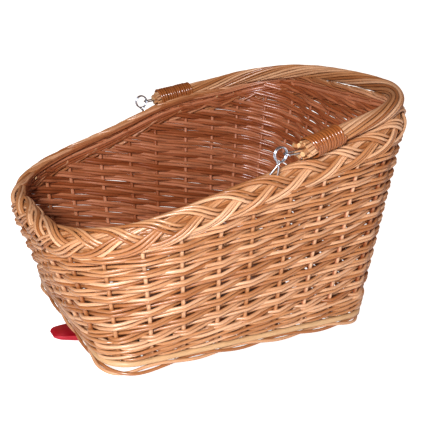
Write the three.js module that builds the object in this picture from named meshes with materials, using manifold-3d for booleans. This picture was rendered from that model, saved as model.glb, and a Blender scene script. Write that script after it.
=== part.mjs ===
import * as THREE from 'three';
import { mergeVertices } from 'three/addons/utils/BufferGeometryUtils.js';
import Module from 'manifold-3d';

const wasm = await Module();
wasm.setup();

// Wicker bicycle basket with a sloping rim, a swinging roped handle and a carrier adapter below.
// Millimetres, +Z up. X runs along the basket, low end at -X. The origin is the middle of the
// adapter's underside, which is the face that the basket stands on and that lies on the carrier.

// Clearances between neighbours
const seatGap = 0.3;
const runGap = 0.4;

// Points along each rounded corner of a plan
const arcSteps = 24;

// Rim, seen from above: a trapezium with rounded corners
const rimLength = 440;
const rimWidthLowEnd = 343;
const rimWidthHighEnd = 349.5;
const rimCornerLowEnd = 126;
const rimCornerHighEnd = 88;
const rimHeightLowEnd = 179.3;
const rimHeightHighEnd = 298.6;
const rimSag = 2.8;

// Plaited border on the rim
const borderHeight = 33.5;
const borderThickness = 26;
const borderOverhang = 3;
const borderCrownDrop = 1;
const borderStationsPerStake = 4;
const borderFootPower = 4;
const borderTurnDegrees = [-45, -28, -12, 4, 20, 36, 52, 68, 84, 100, 116, 132, 150, 180, 225, 270];
const plaitStrands = 5;
const plaitMiddleDegrees = 36;
const plaitSweep = 17.5;
const plaitSquareness = 0.12;
const plaitRound = 12.2;
const plaitStrandWidth = 12;
const plaitStrandRise = 2;
const plaitSkin = 0.7;
const plaitCoreDepth = 6;

// Base, seen from above
const baseLength = 344;
const baseWidth = 289;
const baseCorner = 43;
const baseShift = -2.2;
const baseHoopDiameter = 8.5;
const baseHoopHeight = 35;
const baseHoopStations = 72;
const baseHoopSides = 6;
const wallFootHeight = 30;

// Two thin rods twisted round each other below the hoop
const footRodDiameter = 3.3;
const footRodTwistPitch = 125;
const footRodGap = 0.9;
const footStations = 72;

// Base mat, woven in flat bands of three rods over and under its sticks
const matBandCount = 34;
const matRodThickness = 3;
const matBandLap = 0.2;
const matEdgeGap = 0.9;
const baseStickCount = 4;
const baseStickDiameter = 5.6;
const baseStickSpacing = 58;

// Stakes and weave. A stake's foot lies behind its head by stakeLean of the stakes' spacing.
const stakeCount = 32;
const stakeShift = 0.47;
const stakeLean = 0.45;
const stakeDiameter = 4.5;
const stakeGap = 0.8;
const weaveThickness = 6.2;
const weaveRecess = 4.9;
const weaveMiddle = 3.9;
const weaveRowPitch = 7.75;
const weaveInnerSteps = 7;
const walingHeight = 20.5;
const walingRows = 3;
const walingGroove = 2.2;

// Handle: rods roped together and bent into a bow, and its pivot line above the border
const pivotX = 1;
const pivotRise = 20.58;
const pivotInset = 4.1;
const handleSkew = 2.7;
const handleReach = 218;
const handleRise = 53;
const handleDiameter = 20;
const handleRods = 12;
const handleRodRelief = 1.2;
const handleLay = 260;
const handleStations = 46;

// Bindings of split cane near each end of the handle
const bindingStart = 12;
const bindingTurns = 13;
const bindingPitch = 3.8;
const bindingWidth = 3.2;
const bindingCaneThickness = 2;
const bindingStepsPerTurn = 10;

// Wire fittings that carry the handle
const wireDiameter = 1.8;
const loopRadius = 8;
const loopPitch = 2.35;
const loopCrossingDrop = 13;
const loopLean = 3;
const loopLegDepth = 15;
const loopLegLean = 8;
const eyeHalfWidth = 4.3;
const eyeReach = 3;
const eyeDepth = 14;

// Carrier adapter under the base
const adapterLength = 270;
const adapterWidth = 96;
const adapterCentreX = -11;
const adapterCornerRadius = 12;
const deckThickness = 4.6;
const railThickness = 5;
const spineThickness = 6;
const bridgeInset = 14;
const bridgeThickness = 4;
const bridgeBottom = 7;
const railDiameter = 10;
const railSlack = 1;
const railBedHeight = 6.4;
const hookDepth = 24;
const notchX = -84.5;
const slideThickness = 3.6;
const slideBottom = 2.4;
const slideTravel = 14;
const slideGrip = 2.6;
const prongWidth = 16;
const springDiameter = 11;
const springWire = 1.4;
const springTurns = 7;
const springLength = 31;
const springHeight = 13;
const tabReach = 192;
const tabHalfWidth = 24;
const tabThickness = 8;
const tabRootHeight = 14.2;
const tabTipHeight = 20;
const plateLength = 190;
const plateWidth = 78;
const plateThickness = 2.5;
const screwDiameter = 5;
const screwHeadDiameter = 9.5;
const screwHeadHeight = 3;
const screwSpacingX = 150;
const screwSpacingY = 38;
const screwCentreX = 20;

// Materials
function finish(colour, roughness, metalness = 0) {
  return new THREE.MeshStandardMaterial({ color: colour, roughness, metalness });
}
const willow = finish(0xc98f55, 0.6);
const paleCane = finish(0xdcc398, 0.65);
const splitCane = finish(0xa5662e, 0.4);
const brightWire = finish(0xb9bcc2, 0.25, 1);
const blackNylon = finish(0x1d1e20, 0.55);
const redNylon = finish(0xae1526, 0.4);
const springSteel = finish(0x8d9096, 0.3, 1);
const zincSteel = finish(0xaeb2b5, 0.35, 1);

// Closed solids from rings of points: each ring is a closed outline, and the ends get flat caps
function loft(rings, closed) {
  const sides = rings[0].length;
  const positions = rings.flat().flatMap((point) => [point.x, point.y, point.z]);
  const index = [];
  const spans = closed ? rings.length : rings.length - 1;
  for (let i = 0; i < spans; i++) {
    const here = i * sides;
    const next = ((i + 1) % rings.length) * sides;
    for (let j = 0; j < sides; j++) {
      const k = (j + 1) % sides;
      index.push(here + j, next + j, next + k, here + j, next + k, here + k);
    }
  }
  if (!closed) {
    const last = (rings.length - 1) * sides;
    for (let j = 1; j < sides - 1; j++) {
      index.push(0, j, j + 1);
      index.push(last, last + j + 1, last + j);
    }
  }
  const geometry = new THREE.BufferGeometry();
  geometry.setAttribute('position', new THREE.Float32BufferAttribute(positions, 3));
  geometry.setIndex(index);
  return facingOut(geometry);
}

function facingOut(geometry) {
  const place = geometry.getAttribute('position');
  const index = geometry.getIndex().array;
  const corner = [new THREE.Vector3(), new THREE.Vector3(), new THREE.Vector3()];
  let volume = 0;
  for (let i = 0; i < index.length; i += 3) {
    corner.forEach((point, k) => point.fromBufferAttribute(place, index[i + k]));
    volume += corner[0].dot(corner[1].clone().cross(corner[2]));
  }
  if (volume < 0) {
    const turned = Array.from(index);
    for (let i = 0; i < turned.length; i += 3) {
      [turned[i + 1], turned[i + 2]] = [turned[i + 2], turned[i + 1]];
    }
    geometry.setIndex(turned);
  }
  geometry.computeVertexNormals();
  return geometry;
}

// Cutting and joining of solids
function toSolid(geometry) {
  const plain = geometry.clone();
  plain.deleteAttribute('normal');
  plain.deleteAttribute('uv');
  const merged = mergeVertices(plain, 1e-4);
  return new wasm.Manifold(
    new wasm.Mesh({
      numProp: 3,
      vertProperties: new Float32Array(merged.getAttribute('position').array),
      triVerts: new Uint32Array(merged.getIndex().array),
    }),
  );
}

function fromSolid(solid) {
  const mesh = solid.getMesh();
  const geometry = new THREE.BufferGeometry();
  geometry.setAttribute('position', new THREE.Float32BufferAttribute(mesh.vertProperties, 3));
  geometry.setIndex(Array.from(mesh.triVerts));
  geometry.computeVertexNormals();
  return geometry;
}

function cut(geometry, tools) {
  return fromSolid(tools.reduce((solid, tool) => solid.subtract(toSolid(tool)), toSolid(geometry)));
}

function join(geometries) {
  const [first, ...others] = geometries.map(toSolid);
  return fromSolid(others.reduce((solid, other) => solid.add(other), first));
}

function common(first, second) {
  return fromSolid(toSolid(first).intersect(toSolid(second)));
}

// Plain shapes placed by their corners or axes
function block(x0, x1, y0, y1, z0, z1) {
  const geometry = new THREE.BoxGeometry(x1 - x0, y1 - y0, z1 - z0);
  return geometry.translate((x0 + x1) / 2, (y0 + y1) / 2, (z0 + z1) / 2);
}

function post(x, y, z0, z1, radius, sides = 12) {
  const geometry = new THREE.CylinderGeometry(radius, radius, z1 - z0, sides);
  return geometry.rotateX(Math.PI / 2).translate(x, y, (z0 + z1) / 2);
}

function bar(x0, x1, y, z, radius, sides = 12) {
  const geometry = new THREE.CylinderGeometry(radius, radius, x1 - x0, sides);
  return geometry.rotateZ(Math.PI / 2).translate((x0 + x1) / 2, y, z);
}

function roundedOutline(length, width, radius, segments = 5) {
  const shape = new THREE.Shape();
  const [a, b] = [length / 2, width / 2];
  shape.absarc(a - radius, b - radius, radius, 0, Math.PI / 2);
  shape.absarc(radius - a, b - radius, radius, Math.PI / 2, Math.PI);
  shape.absarc(radius - a, radius - b, radius, Math.PI, 1.5 * Math.PI);
  shape.absarc(a - radius, radius - b, radius, 1.5 * Math.PI, 2 * Math.PI);
  return new THREE.Shape(shape.getPoints(segments));
}

function slab(shape, z0, z1) {
  return new THREE.ExtrudeGeometry(shape, { depth: z1 - z0, bevelEnabled: false }).translate(0, 0, z0);
}

// A side profile in X and Z, drawn out along Y from -halfWidth to halfWidth
function sideProfile(points, halfWidth) {
  const shape = new THREE.Shape(points.map(([x, z]) => new THREE.Vector2(x, z)));
  const geometry = new THREE.ExtrudeGeometry(shape, { depth: 2 * halfWidth, bevelEnabled: false });
  return geometry.rotateX(Math.PI / 2).translate(0, halfWidth, 0);
}

// A rounded four-sided plan as a function of the share of its length, from the +X side round to +Y
function planCurve(length, widthLowEnd, widthHighEnd, cornerLowEnd, cornerHighEnd, shift) {
  const corners = [
    [length / 2, widthHighEnd / 2, cornerHighEnd],
    [-length / 2, widthLowEnd / 2, cornerLowEnd],
    [-length / 2, -widthLowEnd / 2, cornerLowEnd],
    [length / 2, -widthHighEnd / 2, cornerHighEnd],
  ];
  const points = [];
  corners.forEach(([x, y, radius], i) => {
    const corner = new THREE.Vector2(x, y);
    const before = new THREE.Vector2(...corners[(i + 3) % 4]).sub(corner).normalize();
    const after = new THREE.Vector2(...corners[(i + 1) % 4]).sub(corner).normalize();
    const half = Math.acos(before.dot(after)) / 2;
    const inward = before.clone().add(after).normalize();
    const centre = corner.clone().addScaledVector(inward, radius / Math.sin(half));
    const start = corner.clone().addScaledVector(before, radius / Math.tan(half)).sub(centre).angle();
    const turn = Math.PI - 2 * half;
    for (let k = 0; k <= arcSteps; k++) {
      const angle = start + (turn * k) / arcSteps;
      const reach = new THREE.Vector2(radius * Math.cos(angle), radius * Math.sin(angle));
      points.push(reach.add(centre).add(new THREE.Vector2(shift, 0)));
    }
  });
  points.push(points[0].clone());
  const lengths = [0];
  for (let i = 1; i < points.length; i++) {
    lengths.push(lengths[i - 1] + points[i].distanceTo(points[i - 1]));
  }
  return (share) => {
    const target = (share - Math.floor(share)) * lengths[lengths.length - 1];
    let i = 1;
    while (lengths[i] < target) i++;
    const part = (target - lengths[i - 1]) / (lengths[i] - lengths[i - 1]);
    return points[i - 1].clone().lerp(points[i], part);
  };
}

const rimPlan = planCurve(
  rimLength,
  rimWidthLowEnd,
  rimWidthHighEnd,
  rimCornerLowEnd,
  rimCornerHighEnd,
  0,
);
const basePlan = planCurve(baseLength, baseWidth, baseWidth, baseCorner, baseCorner, baseShift);

function rimHeight(x) {
  const along = (x + rimLength / 2) / rimLength;
  const straight = rimHeightLowEnd + (rimHeightHighEnd - rimHeightLowEnd) * along;
  return straight + rimSag * 4 * along * (along - 1);
}

// The outward direction of a plan, square to its tangent
function outward(plan, share) {
  const step = 1e-3;
  const tangent = plan(share + step).sub(plan(share - step)).normalize();
  return new THREE.Vector2(tangent.y, -tangent.x);
}

// The wall's outer face: straight leaning lines from the base plan to the underside of the border
const overhangShare = 1 - borderOverhang / (rimLength / 2);
function wallPlan(height) {
  return (share) => {
    const rim = rimPlan(share);
    const top = rimHeight(rim.x) - borderHeight;
    const climb = (height - wallFootHeight) / (top - wallFootHeight);
    const foot = basePlan(share - stakeLean / stakeCount);
    return foot.lerp(rim.multiplyScalar(overhangShare), climb);
  };
}

function wallPoint(share, height, inset) {
  const plan = wallPlan(height);
  const place = plan(share).addScaledVector(outward(plan, share), -inset);
  return new THREE.Vector3(place.x, place.y, height);
}

function stakeShare(number) {
  return (number + stakeShift) / stakeCount;
}

const pivotHeight = rimHeight(pivotX) + pivotRise;
const pivotHalfSpan = (rimWidthLowEnd + rimWidthHighEnd) / 4 - pivotInset;
const basket = new THREE.Group();
const handle = new THREE.Group();
handle.position.set(pivotX, 0, pivotHeight);
handle.rotation.z = THREE.MathUtils.degToRad(handleSkew);
handle.updateMatrix();
basket.add(handle);

function addPart(name, geometry, material, parent = basket) {
  const mesh = new THREE.Mesh(geometry, material);
  mesh.name = name;
  parent.add(mesh);
}

// A ring that follows a plan: section gives [inset, height] pairs at each share of the way round
function planRing(plan, stations, section) {
  const rings = [];
  for (let i = 0; i < stations; i++) {
    const share = i / stations;
    const place = plan(share);
    const out = outward(plan, share);
    rings.push(
      section(share, place, out).map(([inset, height]) => {
        const point = place.clone().addScaledVector(out, -inset);
        return new THREE.Vector3(point.x, point.y, height);
      }),
    );
  }
  return loft(rings, true);
}

// Base hoop: one thick pale rod bent round the foot of the basket
const hoopRadius = baseHoopDiameter / 2;
function roundSection(inset, height, radius, sides) {
  const points = [];
  for (let j = 0; j < sides; j++) {
    const angle = (2 * Math.PI * (j + 0.5)) / sides;
    points.push([inset + radius * Math.cos(angle), height + radius * Math.sin(angle)]);
  }
  return points;
}
addPart(
  'base_hoop',
  planRing(basePlan, baseHoopStations, () => {
    return roundSection(hoopRadius, baseHoopHeight, hoopRadius, baseHoopSides);
  }),
  paleCane,
);

// Foot: two thin rods twisted round each other, hanging under the hoop
const footTwistRadius = (footRodDiameter + footRodGap) / 2;
const footCentreHeight = baseHoopHeight - hoopRadius - seatGap - footTwistRadius - footRodDiameter / 2;
const footTwists = Math.round((2 * (baseLength + baseWidth)) / footRodTwistPitch);
for (let rod = 0; rod < 2; rod++) {
  const section = (share) => {
    const angle = 2 * Math.PI * (footTwists * share + rod / 2);
    const inset = hoopRadius + footTwistRadius * Math.cos(angle);
    const height = footCentreHeight + footTwistRadius * Math.sin(angle);
    return roundSection(inset, height, footRodDiameter / 2, 5);
  };
  addPart(`foot_rod_${rod + 1}`, planRing(basePlan, footStations, section), willow);
}

// Base mat: bands of rods woven across the basket, over and under the sticks that run in it
const matInset = baseHoopDiameter + matEdgeGap;
const matSwing = (baseStickDiameter + matRodThickness) / 2 + seatGap;
const matTop = baseHoopHeight + matSwing + matRodThickness / 2;
const matBottom = baseHoopHeight - matSwing - matRodThickness / 2;
const matLength = baseLength - 2 * matInset;
const matWidth = baseWidth - 2 * matInset;
const stickLines = [];
for (let i = 0; i < baseStickCount; i++) {
  stickLines.push((i - (baseStickCount - 1) / 2) * baseStickSpacing);
}
const bandPitch = matLength / matBandCount;
const matBands = [];
for (let band = 0; band < matBandCount; band++) {
  const side = band % 2 ? 1 : -1;
  const middles = [];
  for (let half = -1; half < 2 * baseStickCount; half++) {
    const y = stickLines[0] + (half * baseStickSpacing) / 2;
    middles.push([y, side * matSwing * Math.cos((half * Math.PI) / 2)]);
  }
  middles.unshift([-matWidth / 2 - 1, 0.7 * middles[1][1]]);
  middles.push([matWidth / 2 + 1, 0.7 * middles[middles.length - 2][1]]);
  const upper = middles.map(([y, z]) => new THREE.Vector2(y, z + matRodThickness / 2));
  const lower = middles.map(([y, z]) => new THREE.Vector2(y, z - matRodThickness / 2));
  const profile = new THREE.Shape([...upper, ...lower.reverse()]);
  const depth = bandPitch + matBandLap;
  const bandSolid = new THREE.ExtrudeGeometry(profile, { depth, bevelEnabled: false });
  bandSolid.rotateX(Math.PI / 2).rotateZ(Math.PI / 2);
  bandSolid.translate(baseShift - matLength / 2 + band * bandPitch - matBandLap / 2, 0, baseHoopHeight);
  matBands.push(bandSolid);
}
const matCorner = baseCorner - matInset;
const matOutline = slab(roundedOutline(matLength, matWidth, matCorner), matBottom - 1, matTop + 1);
matOutline.translate(baseShift, 0, 0);

const screwPlaces = [];
for (const sideX of [-1, 1]) {
  for (const sideY of [-1, 1]) {
    screwPlaces.push([screwCentreX + (sideX * screwSpacingX) / 2, (sideY * screwSpacingY) / 2]);
  }
}
const screwHoleRadius = screwDiameter / 2 + seatGap;
const screwHoles = (z0, z1) => screwPlaces.map(([x, y]) => post(x, y, z0, z1, screwHoleRadius, 8));
const matSolid = common(join(matBands), matOutline);
addPart('base_mat', cut(matSolid, screwHoles(matBottom - 1, matTop + 1)), willow);

stickLines.forEach((y, i) => {
  const cornerRun = Math.max(0, Math.abs(y) - (matWidth / 2 - matCorner));
  const reach = matLength / 2 - matCorner + Math.sqrt(matCorner ** 2 - cornerRun ** 2);
  const stick = bar(baseShift - reach, baseShift + reach, y, baseHoopHeight, baseStickDiameter / 2, 8);
  addPart(`base_stick_${i + 1}`, stick, paleCane);
});

// Waling: three rods worked round the stakes on top of the hoop
const walingBottom = baseHoopHeight + hoopRadius + seatGap;
const walingTop = walingBottom + walingHeight;
const walingStations = stakeCount * 2;
const walingRings = [];
for (let i = 0; i < walingStations; i++) {
  const share = stakeShare(i / 2);
  const rowHeight = walingHeight / walingRows;
  const outer = [];
  for (let row = 0; row < walingRows; row++) {
    const lift = i % 2 ? 0.15 * rowHeight : -0.15 * rowHeight;
    const groove = walingBottom + row * rowHeight;
    outer.push([row ? groove + lift : groove, walingGroove]);
    outer.push([groove + rowHeight * 0.5 + lift, 0]);
  }
  outer.push([walingTop, walingGroove]);
  const inner = [
    [walingTop, weaveThickness],
    [walingBottom, weaveThickness],
  ];
  walingRings.push([...outer, ...inner].map(([height, inset]) => wallPoint(share, height, inset)));
}
addPart('base_waling', loft(walingRings, true), willow);

// Side weave: rods that pass in front of one stake and behind the next, climbing a row each time,
// so that the bumps over the stakes lie in level rows. It ends under the sloping border.
const weaveBottom = walingTop + seatGap;
const weaveLift = 1.2;
const weaveTop = rimHeightHighEnd;
const weaveRows = Math.ceil((weaveTop - weaveBottom) / weaveRowPitch);
const weaveRings = [];
for (let i = 0; i < stakeCount * 2; i++) {
  const share = stakeShare(i / 2);
  const overStake = i % 2 === 0;
  const ring = [];
  for (let row = 0; row <= weaveRows; row++) {
    const ends = row === 0 || row === weaveRows;
    const lift = row ? weaveLift : 0;
    const height = weaveBottom + lift + weaveRowPitch * (row + (overStake || ends ? 0 : 0.5));
    const atStake = row % 2 ? weaveRecess : 0;
    ring.push(wallPoint(share, height, overStake ? atStake : weaveMiddle));
  }
  for (let step = weaveInnerSteps; step >= 0; step--) {
    const lift = step ? weaveLift : 0;
    const height = weaveBottom + lift + (weaveRowPitch * weaveRows * step) / weaveInnerSteps;
    ring.push(wallPoint(share, height, weaveThickness));
  }
  weaveRings.push(ring);
}
const slopeSteps = 8;
function underBorder(gap) {
  const points = [];
  for (let i = 0; i <= slopeSteps; i++) {
    const x = rimLength * (i / slopeSteps - 0.5);
    points.push([x, rimHeight(x) - borderHeight - gap]);
  }
  const beyond = rimLength;
  points.unshift([-beyond, rimHeight(-beyond) - borderHeight]);
  points.push([beyond, points[points.length - 1][1]]);
  points.push([beyond, 0], [-beyond, 0]);
  return sideProfile(points, rimLength);
}
addPart('side_weave', common(loft(weaveRings, true), underBorder(seatGap)), willow);

// Stakes: the uprights, each straight from the base mat to the border
const stakeInset = weaveThickness + stakeGap + stakeDiameter / 2;
const stakeFoot = matTop + seatGap;
const rimSlope = (rimHeightHighEnd - rimHeightLowEnd) / rimLength;
const stakeHeadGap = seatGap + rimSlope * (weaveThickness + stakeDiameter);
for (let i = 0; i < stakeCount; i++) {
  const share = stakeShare(i);
  const foot = wallPoint(share, stakeFoot, stakeInset);
  const rimEdge = wallPoint(share, rimHeight(rimPlan(share).x) - borderHeight, stakeInset);
  const head = wallPoint(share, rimHeight(rimEdge.x) - borderHeight - stakeHeadGap, stakeInset);
  const direction = head.clone().sub(foot).normalize();
  const tilt = (stakeDiameter / 2) * Math.hypot(direction.x, direction.y);
  const length = head.distanceTo(foot) - 2 * tilt;
  const stake = new THREE.CylinderGeometry(stakeDiameter / 2, stakeDiameter / 2, length, 6);
  stake.translate(0, length / 2, 0);
  const turn = new THREE.Quaternion().setFromUnitVectors(new THREE.Vector3(0, 1, 0), direction);
  stake.applyQuaternion(turn).translate(foot.x, foot.y, foot.z + tilt);
  addPart(`stake_${String(i + 1).padStart(2, '0')}`, stake, willow);
}

// Border: the stakes' ends plaited into a thick sloping roll. At each stake a flat strand starts
// along the outer edge, crosses over two others and under two more to the inner edge, and returns
// in the same way. plaitDepth gives how far the plait lies below the roll's full section.
function plaitDepth(share, turn) {
  const along = share * stakeCount - stakeShift;
  let depth = plaitCoreDepth;
  for (let strand = 0; strand < plaitStrands; strand++) {
    const phase = (2 * Math.PI * (along - Math.floor(along) + strand)) / plaitStrands;
    const sideways = -plaitSweep * (Math.cos(phase) - plaitSquareness * Math.cos(3 * phase));
    const middle = THREE.MathUtils.degToRad(plaitMiddleDegrees) + sideways / plaitRound;
    const off = Math.abs(turn - middle) * plaitRound * (2 / plaitStrandWidth);
    const over = THREE.MathUtils.clamp(1.7 * Math.sin(2 * phase), -1, 1);
    if (off < 1.15) depth = Math.min(depth, plaitSkin + plaitStrandRise * (1 - over));
  }
  return depth;
}
function borderSection(share, place, out) {
  const top = rimHeight(place.x) - borderCrownDrop;
  const middle = top - (borderHeight - borderCrownDrop) / 2;
  const points = [];
  for (const degrees of borderTurnDegrees) {
    const turn = THREE.MathUtils.degToRad(degrees);
    const [c, s] = [-Math.cos(turn), Math.sin(turn)];
    const power = s < 0 ? borderFootPower : 2;
    const square = (Math.abs(c) ** power + Math.abs(s) ** power) ** (-1 / power);
    const depth = s < -0.7 ? 0 : plaitDepth(share, turn);
    const inset = borderThickness / 2 + c * square * (borderThickness / 2 - depth);
    const underside = rimHeight(place.x - inset * out.x) - borderHeight;
    const reach = s < 0 ? middle - underside : top - middle;
    points.push([inset, middle + s * square * (reach - depth)]);
  }
  return points.reverse();
}
const borderRing = planRing(rimPlan, stakeCount * borderStationsPerStake, borderSection);

// Handle: its centre line in its own frame, from the near end round to the far end, as shares of
// its reach, of half its span and of its rise
const handleLine = new THREE.CatmullRomCurve3(
  [
    [0.11, -1, 0.023],
    [0.165, -1, 0.075],
    [0.294, -1, 0.26],
    [0.454, -0.988, 0.443],
    [0.642, -0.947, 0.626],
    [0.812, -0.846, 0.819],
    [0.922, -0.657, 0.958],
    [0.982, -0.385, 0.992],
    [1, -0.089, 1],
    [0.991, 0.237, 0.985],
    [0.945, 0.491, 0.936],
    [0.839, 0.716, 0.811],
    [0.688, 0.876, 0.626],
    [0.5, 0.959, 0.396],
    [0.317, 0.994, 0.236],
    [0.165, 1, 0.104],
    [0.11, 1, 0.047],
  ].map(([x, y, z]) => new THREE.Vector3(x * handleReach, y * pivotHalfSpan, z * handleRise)),
);
const handleLength = handleLine.getLength();
const handleRadius = handleDiameter / 2;

// Two directions square to a line, the first of them level
function frameAt(line, share) {
  const centre = line.getPointAt(share);
  const along = line.getTangentAt(share);
  const level = new THREE.Vector3().crossVectors(along, new THREE.Vector3(0, 0, 1)).normalize();
  const rise = new THREE.Vector3().crossVectors(level, along);
  return { centre, along, level, rise };
}

function atAngle(frame, angle, radius) {
  return frame.centre
    .clone()
    .addScaledVector(frame.level, radius * Math.cos(angle))
    .addScaledVector(frame.rise, radius * Math.sin(angle));
}

const ropeRings = [];
for (let i = 0; i <= handleStations; i++) {
  const share = i / handleStations;
  const frame = frameAt(handleLine, share);
  const twist = (2 * Math.PI * share * handleLength) / handleLay;
  const ring = [];
  for (let j = 0; j < 2 * handleRods; j++) {
    const radius = handleRadius - (j % 2 ? handleRodRelief : 0);
    ring.push(atAngle(frame, (Math.PI * j) / handleRods + twist, radius));
  }
  ropeRings.push(ring);
}

// Wire eye at each handle end: a narrow staple whose shanks are held inside the roped rods
const eyeEnds = [0, 1].map((end) => frameAt(handleLine, end));
const shankRadius = wireDiameter / 2;
function tube(points, radius, sides, normal) {
  const rings = points.map((point, i) => {
    const ahead = points[Math.min(i + 1, points.length - 1)];
    const behind = points[Math.max(i - 1, 0)];
    const along = ahead.clone().sub(behind).normalize();
    const across = normal.clone().addScaledVector(along, -normal.dot(along)).normalize();
    const up = new THREE.Vector3().crossVectors(along, across);
    const ring = [];
    for (let j = 0; j < sides; j++) {
      const angle = (2 * Math.PI * j) / sides;
      const spoke = across.clone().multiplyScalar(radius * Math.cos(angle));
      ring.push(spoke.addScaledVector(up, radius * Math.sin(angle)).add(point));
    }
    return ring;
  });
  return loft(rings, false);
}

const shankBores = [];
eyeEnds.forEach((frame, end) => {
  const side = end ? 1 : -1;
  const into = frame.along.clone().multiplyScalar(end ? -1 : 1);
  const bendX = loopRadius - eyeReach + eyeHalfWidth;
  const points = [];
  const shank = (sign, depth) => {
    const start = frame.centre.clone().addScaledVector(into, depth);
    return start.add(new THREE.Vector3(0, sign * eyeHalfWidth, 0));
  };
  points.push(shank(-1, eyeDepth), shank(-1, -1));
  const bendSteps = 8;
  for (let k = 0; k <= bendSteps; k++) {
    const angle = -Math.PI / 2 - (Math.PI * k) / bendSteps;
    const x = bendX + eyeHalfWidth * Math.cos(angle);
    points.push(new THREE.Vector3(x, side * pivotHalfSpan + eyeHalfWidth * Math.sin(angle), 0));
  }
  points.push(shank(1, -1), shank(1, eyeDepth));
  const level = new THREE.Vector3(0, 0, 1);
  const name = end ? 'handle_eye_far' : 'handle_eye_near';
  addPart(name, tube(points, shankRadius, 6, level), brightWire, handle);
  for (const sign of [-1, 1]) {
    const bore = [shank(sign, -5), shank(sign, eyeDepth + seatGap)];
    shankBores.push(tube(bore, shankRadius + seatGap, 6, level));
  }
});
addPart('handle_rope', cut(loft(ropeRings, false), shankBores), willow, handle);

// Bindings: split cane wound round the rods, each one unbroken strip
const bindingRadius = handleRadius + seatGap + bindingCaneThickness / 2 + 0.6;
function bindingPath(end) {
  const points = [];
  const steps = bindingTurns * bindingStepsPerTurn;
  for (let i = 0; i <= steps; i++) {
    const turns = i / bindingStepsPerTurn;
    const distance = bindingStart + bindingPitch * turns;
    const share = end ? 1 - distance / handleLength : distance / handleLength;
    const frame = frameAt(handleLine, share);
    const angle = 2 * Math.PI * turns;
    points.push({ frame, angle });
  }
  return points;
}

function bindingSolid(path) {
  const rings = path.map(({ frame, angle }) => {
    const centre = atAngle(frame, angle, bindingRadius);
    const out = centre.clone().sub(frame.centre).normalize();
    const ring = [];
    for (let j = 0; j < 6; j++) {
      const turn = (2 * Math.PI * (j + 0.5)) / 6;
      const point = centre.clone().addScaledVector(frame.along, (bindingWidth / 2) * Math.cos(turn));
      ring.push(point.addScaledVector(out, (bindingCaneThickness / 2) * Math.sin(turn)));
    }
    return ring;
  });
  return loft(rings, false);
}

// The least distance between a winding and its own next turn, less its width
function leastSelfGap(points, stepsPerTurn, width) {
  let least = Infinity;
  for (let i = 0; i < points.length; i++) {
    for (let j = i + Math.round(stepsPerTurn / 2); j < points.length; j++) {
      least = Math.min(least, points[i].distanceTo(points[j]));
    }
  }
  return least - width;
}
['near', 'far'].forEach((name, end) => {
  const path = bindingPath(end);
  addPart(`handle_binding_${name}`, bindingSolid(path), splitCane, handle);
  const centres = path.map(({ frame, angle }) => atAngle(frame, angle, bindingRadius));
  const gap = leastSelfGap(centres, bindingStepsPerTurn, bindingWidth * Math.cos(Math.PI / 6));
  console.log(`handle_binding_${name}: least gap between turns ${gap.toFixed(2)} mm`);
});

// Rim loops: bright wire coiled once and two thirds, its crossed legs pushed down into the border
const legBores = [];
['near', 'far'].forEach((name, end) => {
  const side = end ? 1 : -1;
  const lean = side * loopLean;
  const distance = Math.hypot(lean, loopCrossingDrop);
  const towards = Math.atan2(-loopCrossingDrop, lean);
  const half = Math.acos(loopRadius / distance);
  const leave = towards + half;
  const enter = towards - half + 2 * Math.PI;
  const sweep = enter - leave + 2 * Math.PI;
  const stepsPerTurn = 18;
  const steps = Math.round((sweep / (2 * Math.PI)) * stepsPerTurn);
  const width = (loopPitch * sweep) / (2 * Math.PI);
  const y0 = side * pivotHalfSpan;
  const crossing = (y) => new THREE.Vector3(lean, y0 + y, -loopCrossingDrop);
  const coil = [];
  for (let i = 0; i <= steps; i++) {
    const angle = enter - (sweep * i) / steps;
    const y = y0 + width * (i / steps - 0.5);
    coil.push(new THREE.Vector3(loopRadius * Math.cos(angle), y, loopRadius * Math.sin(angle)));
  }
  const legEnd = (coilEnd, across) => {
    const direction = across.clone().sub(coilEnd).normalize();
    const foot = across.clone().addScaledVector(direction, loopLegDepth / Math.abs(direction.z));
    return foot.add(new THREE.Vector3(0, -side * loopLegLean, 0));
  };
  const first = crossing(-width / 2);
  const second = crossing(width / 2);
  const footA = legEnd(coil[0], first);
  const footB = legEnd(coil[coil.length - 1], second);
  const points = [footA, first, ...coil, second, footB];
  const level = new THREE.Vector3(0, 1, 0);
  addPart(`rim_loop_${name}`, tube(points, wireDiameter / 2, 6, level), brightWire, handle);
  const gap = leastSelfGap(coil, stepsPerTurn, wireDiameter);
  console.log(`rim_loop_${name}: least gap between turns ${gap.toFixed(2)} mm`);
  for (const [from, to] of [[first, footA], [second, footB]]) {
    const beyond = to.clone().addScaledVector(to.clone().sub(from).normalize(), seatGap);
    const start = from.clone().lerp(to, -0.2);
    const bore = tube([start, beyond], wireDiameter / 2 + seatGap, 6, level);
    legBores.push(bore.applyMatrix4(handle.matrix));
  }
});
addPart('border_plait', cut(borderRing, legBores), willow);

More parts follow.
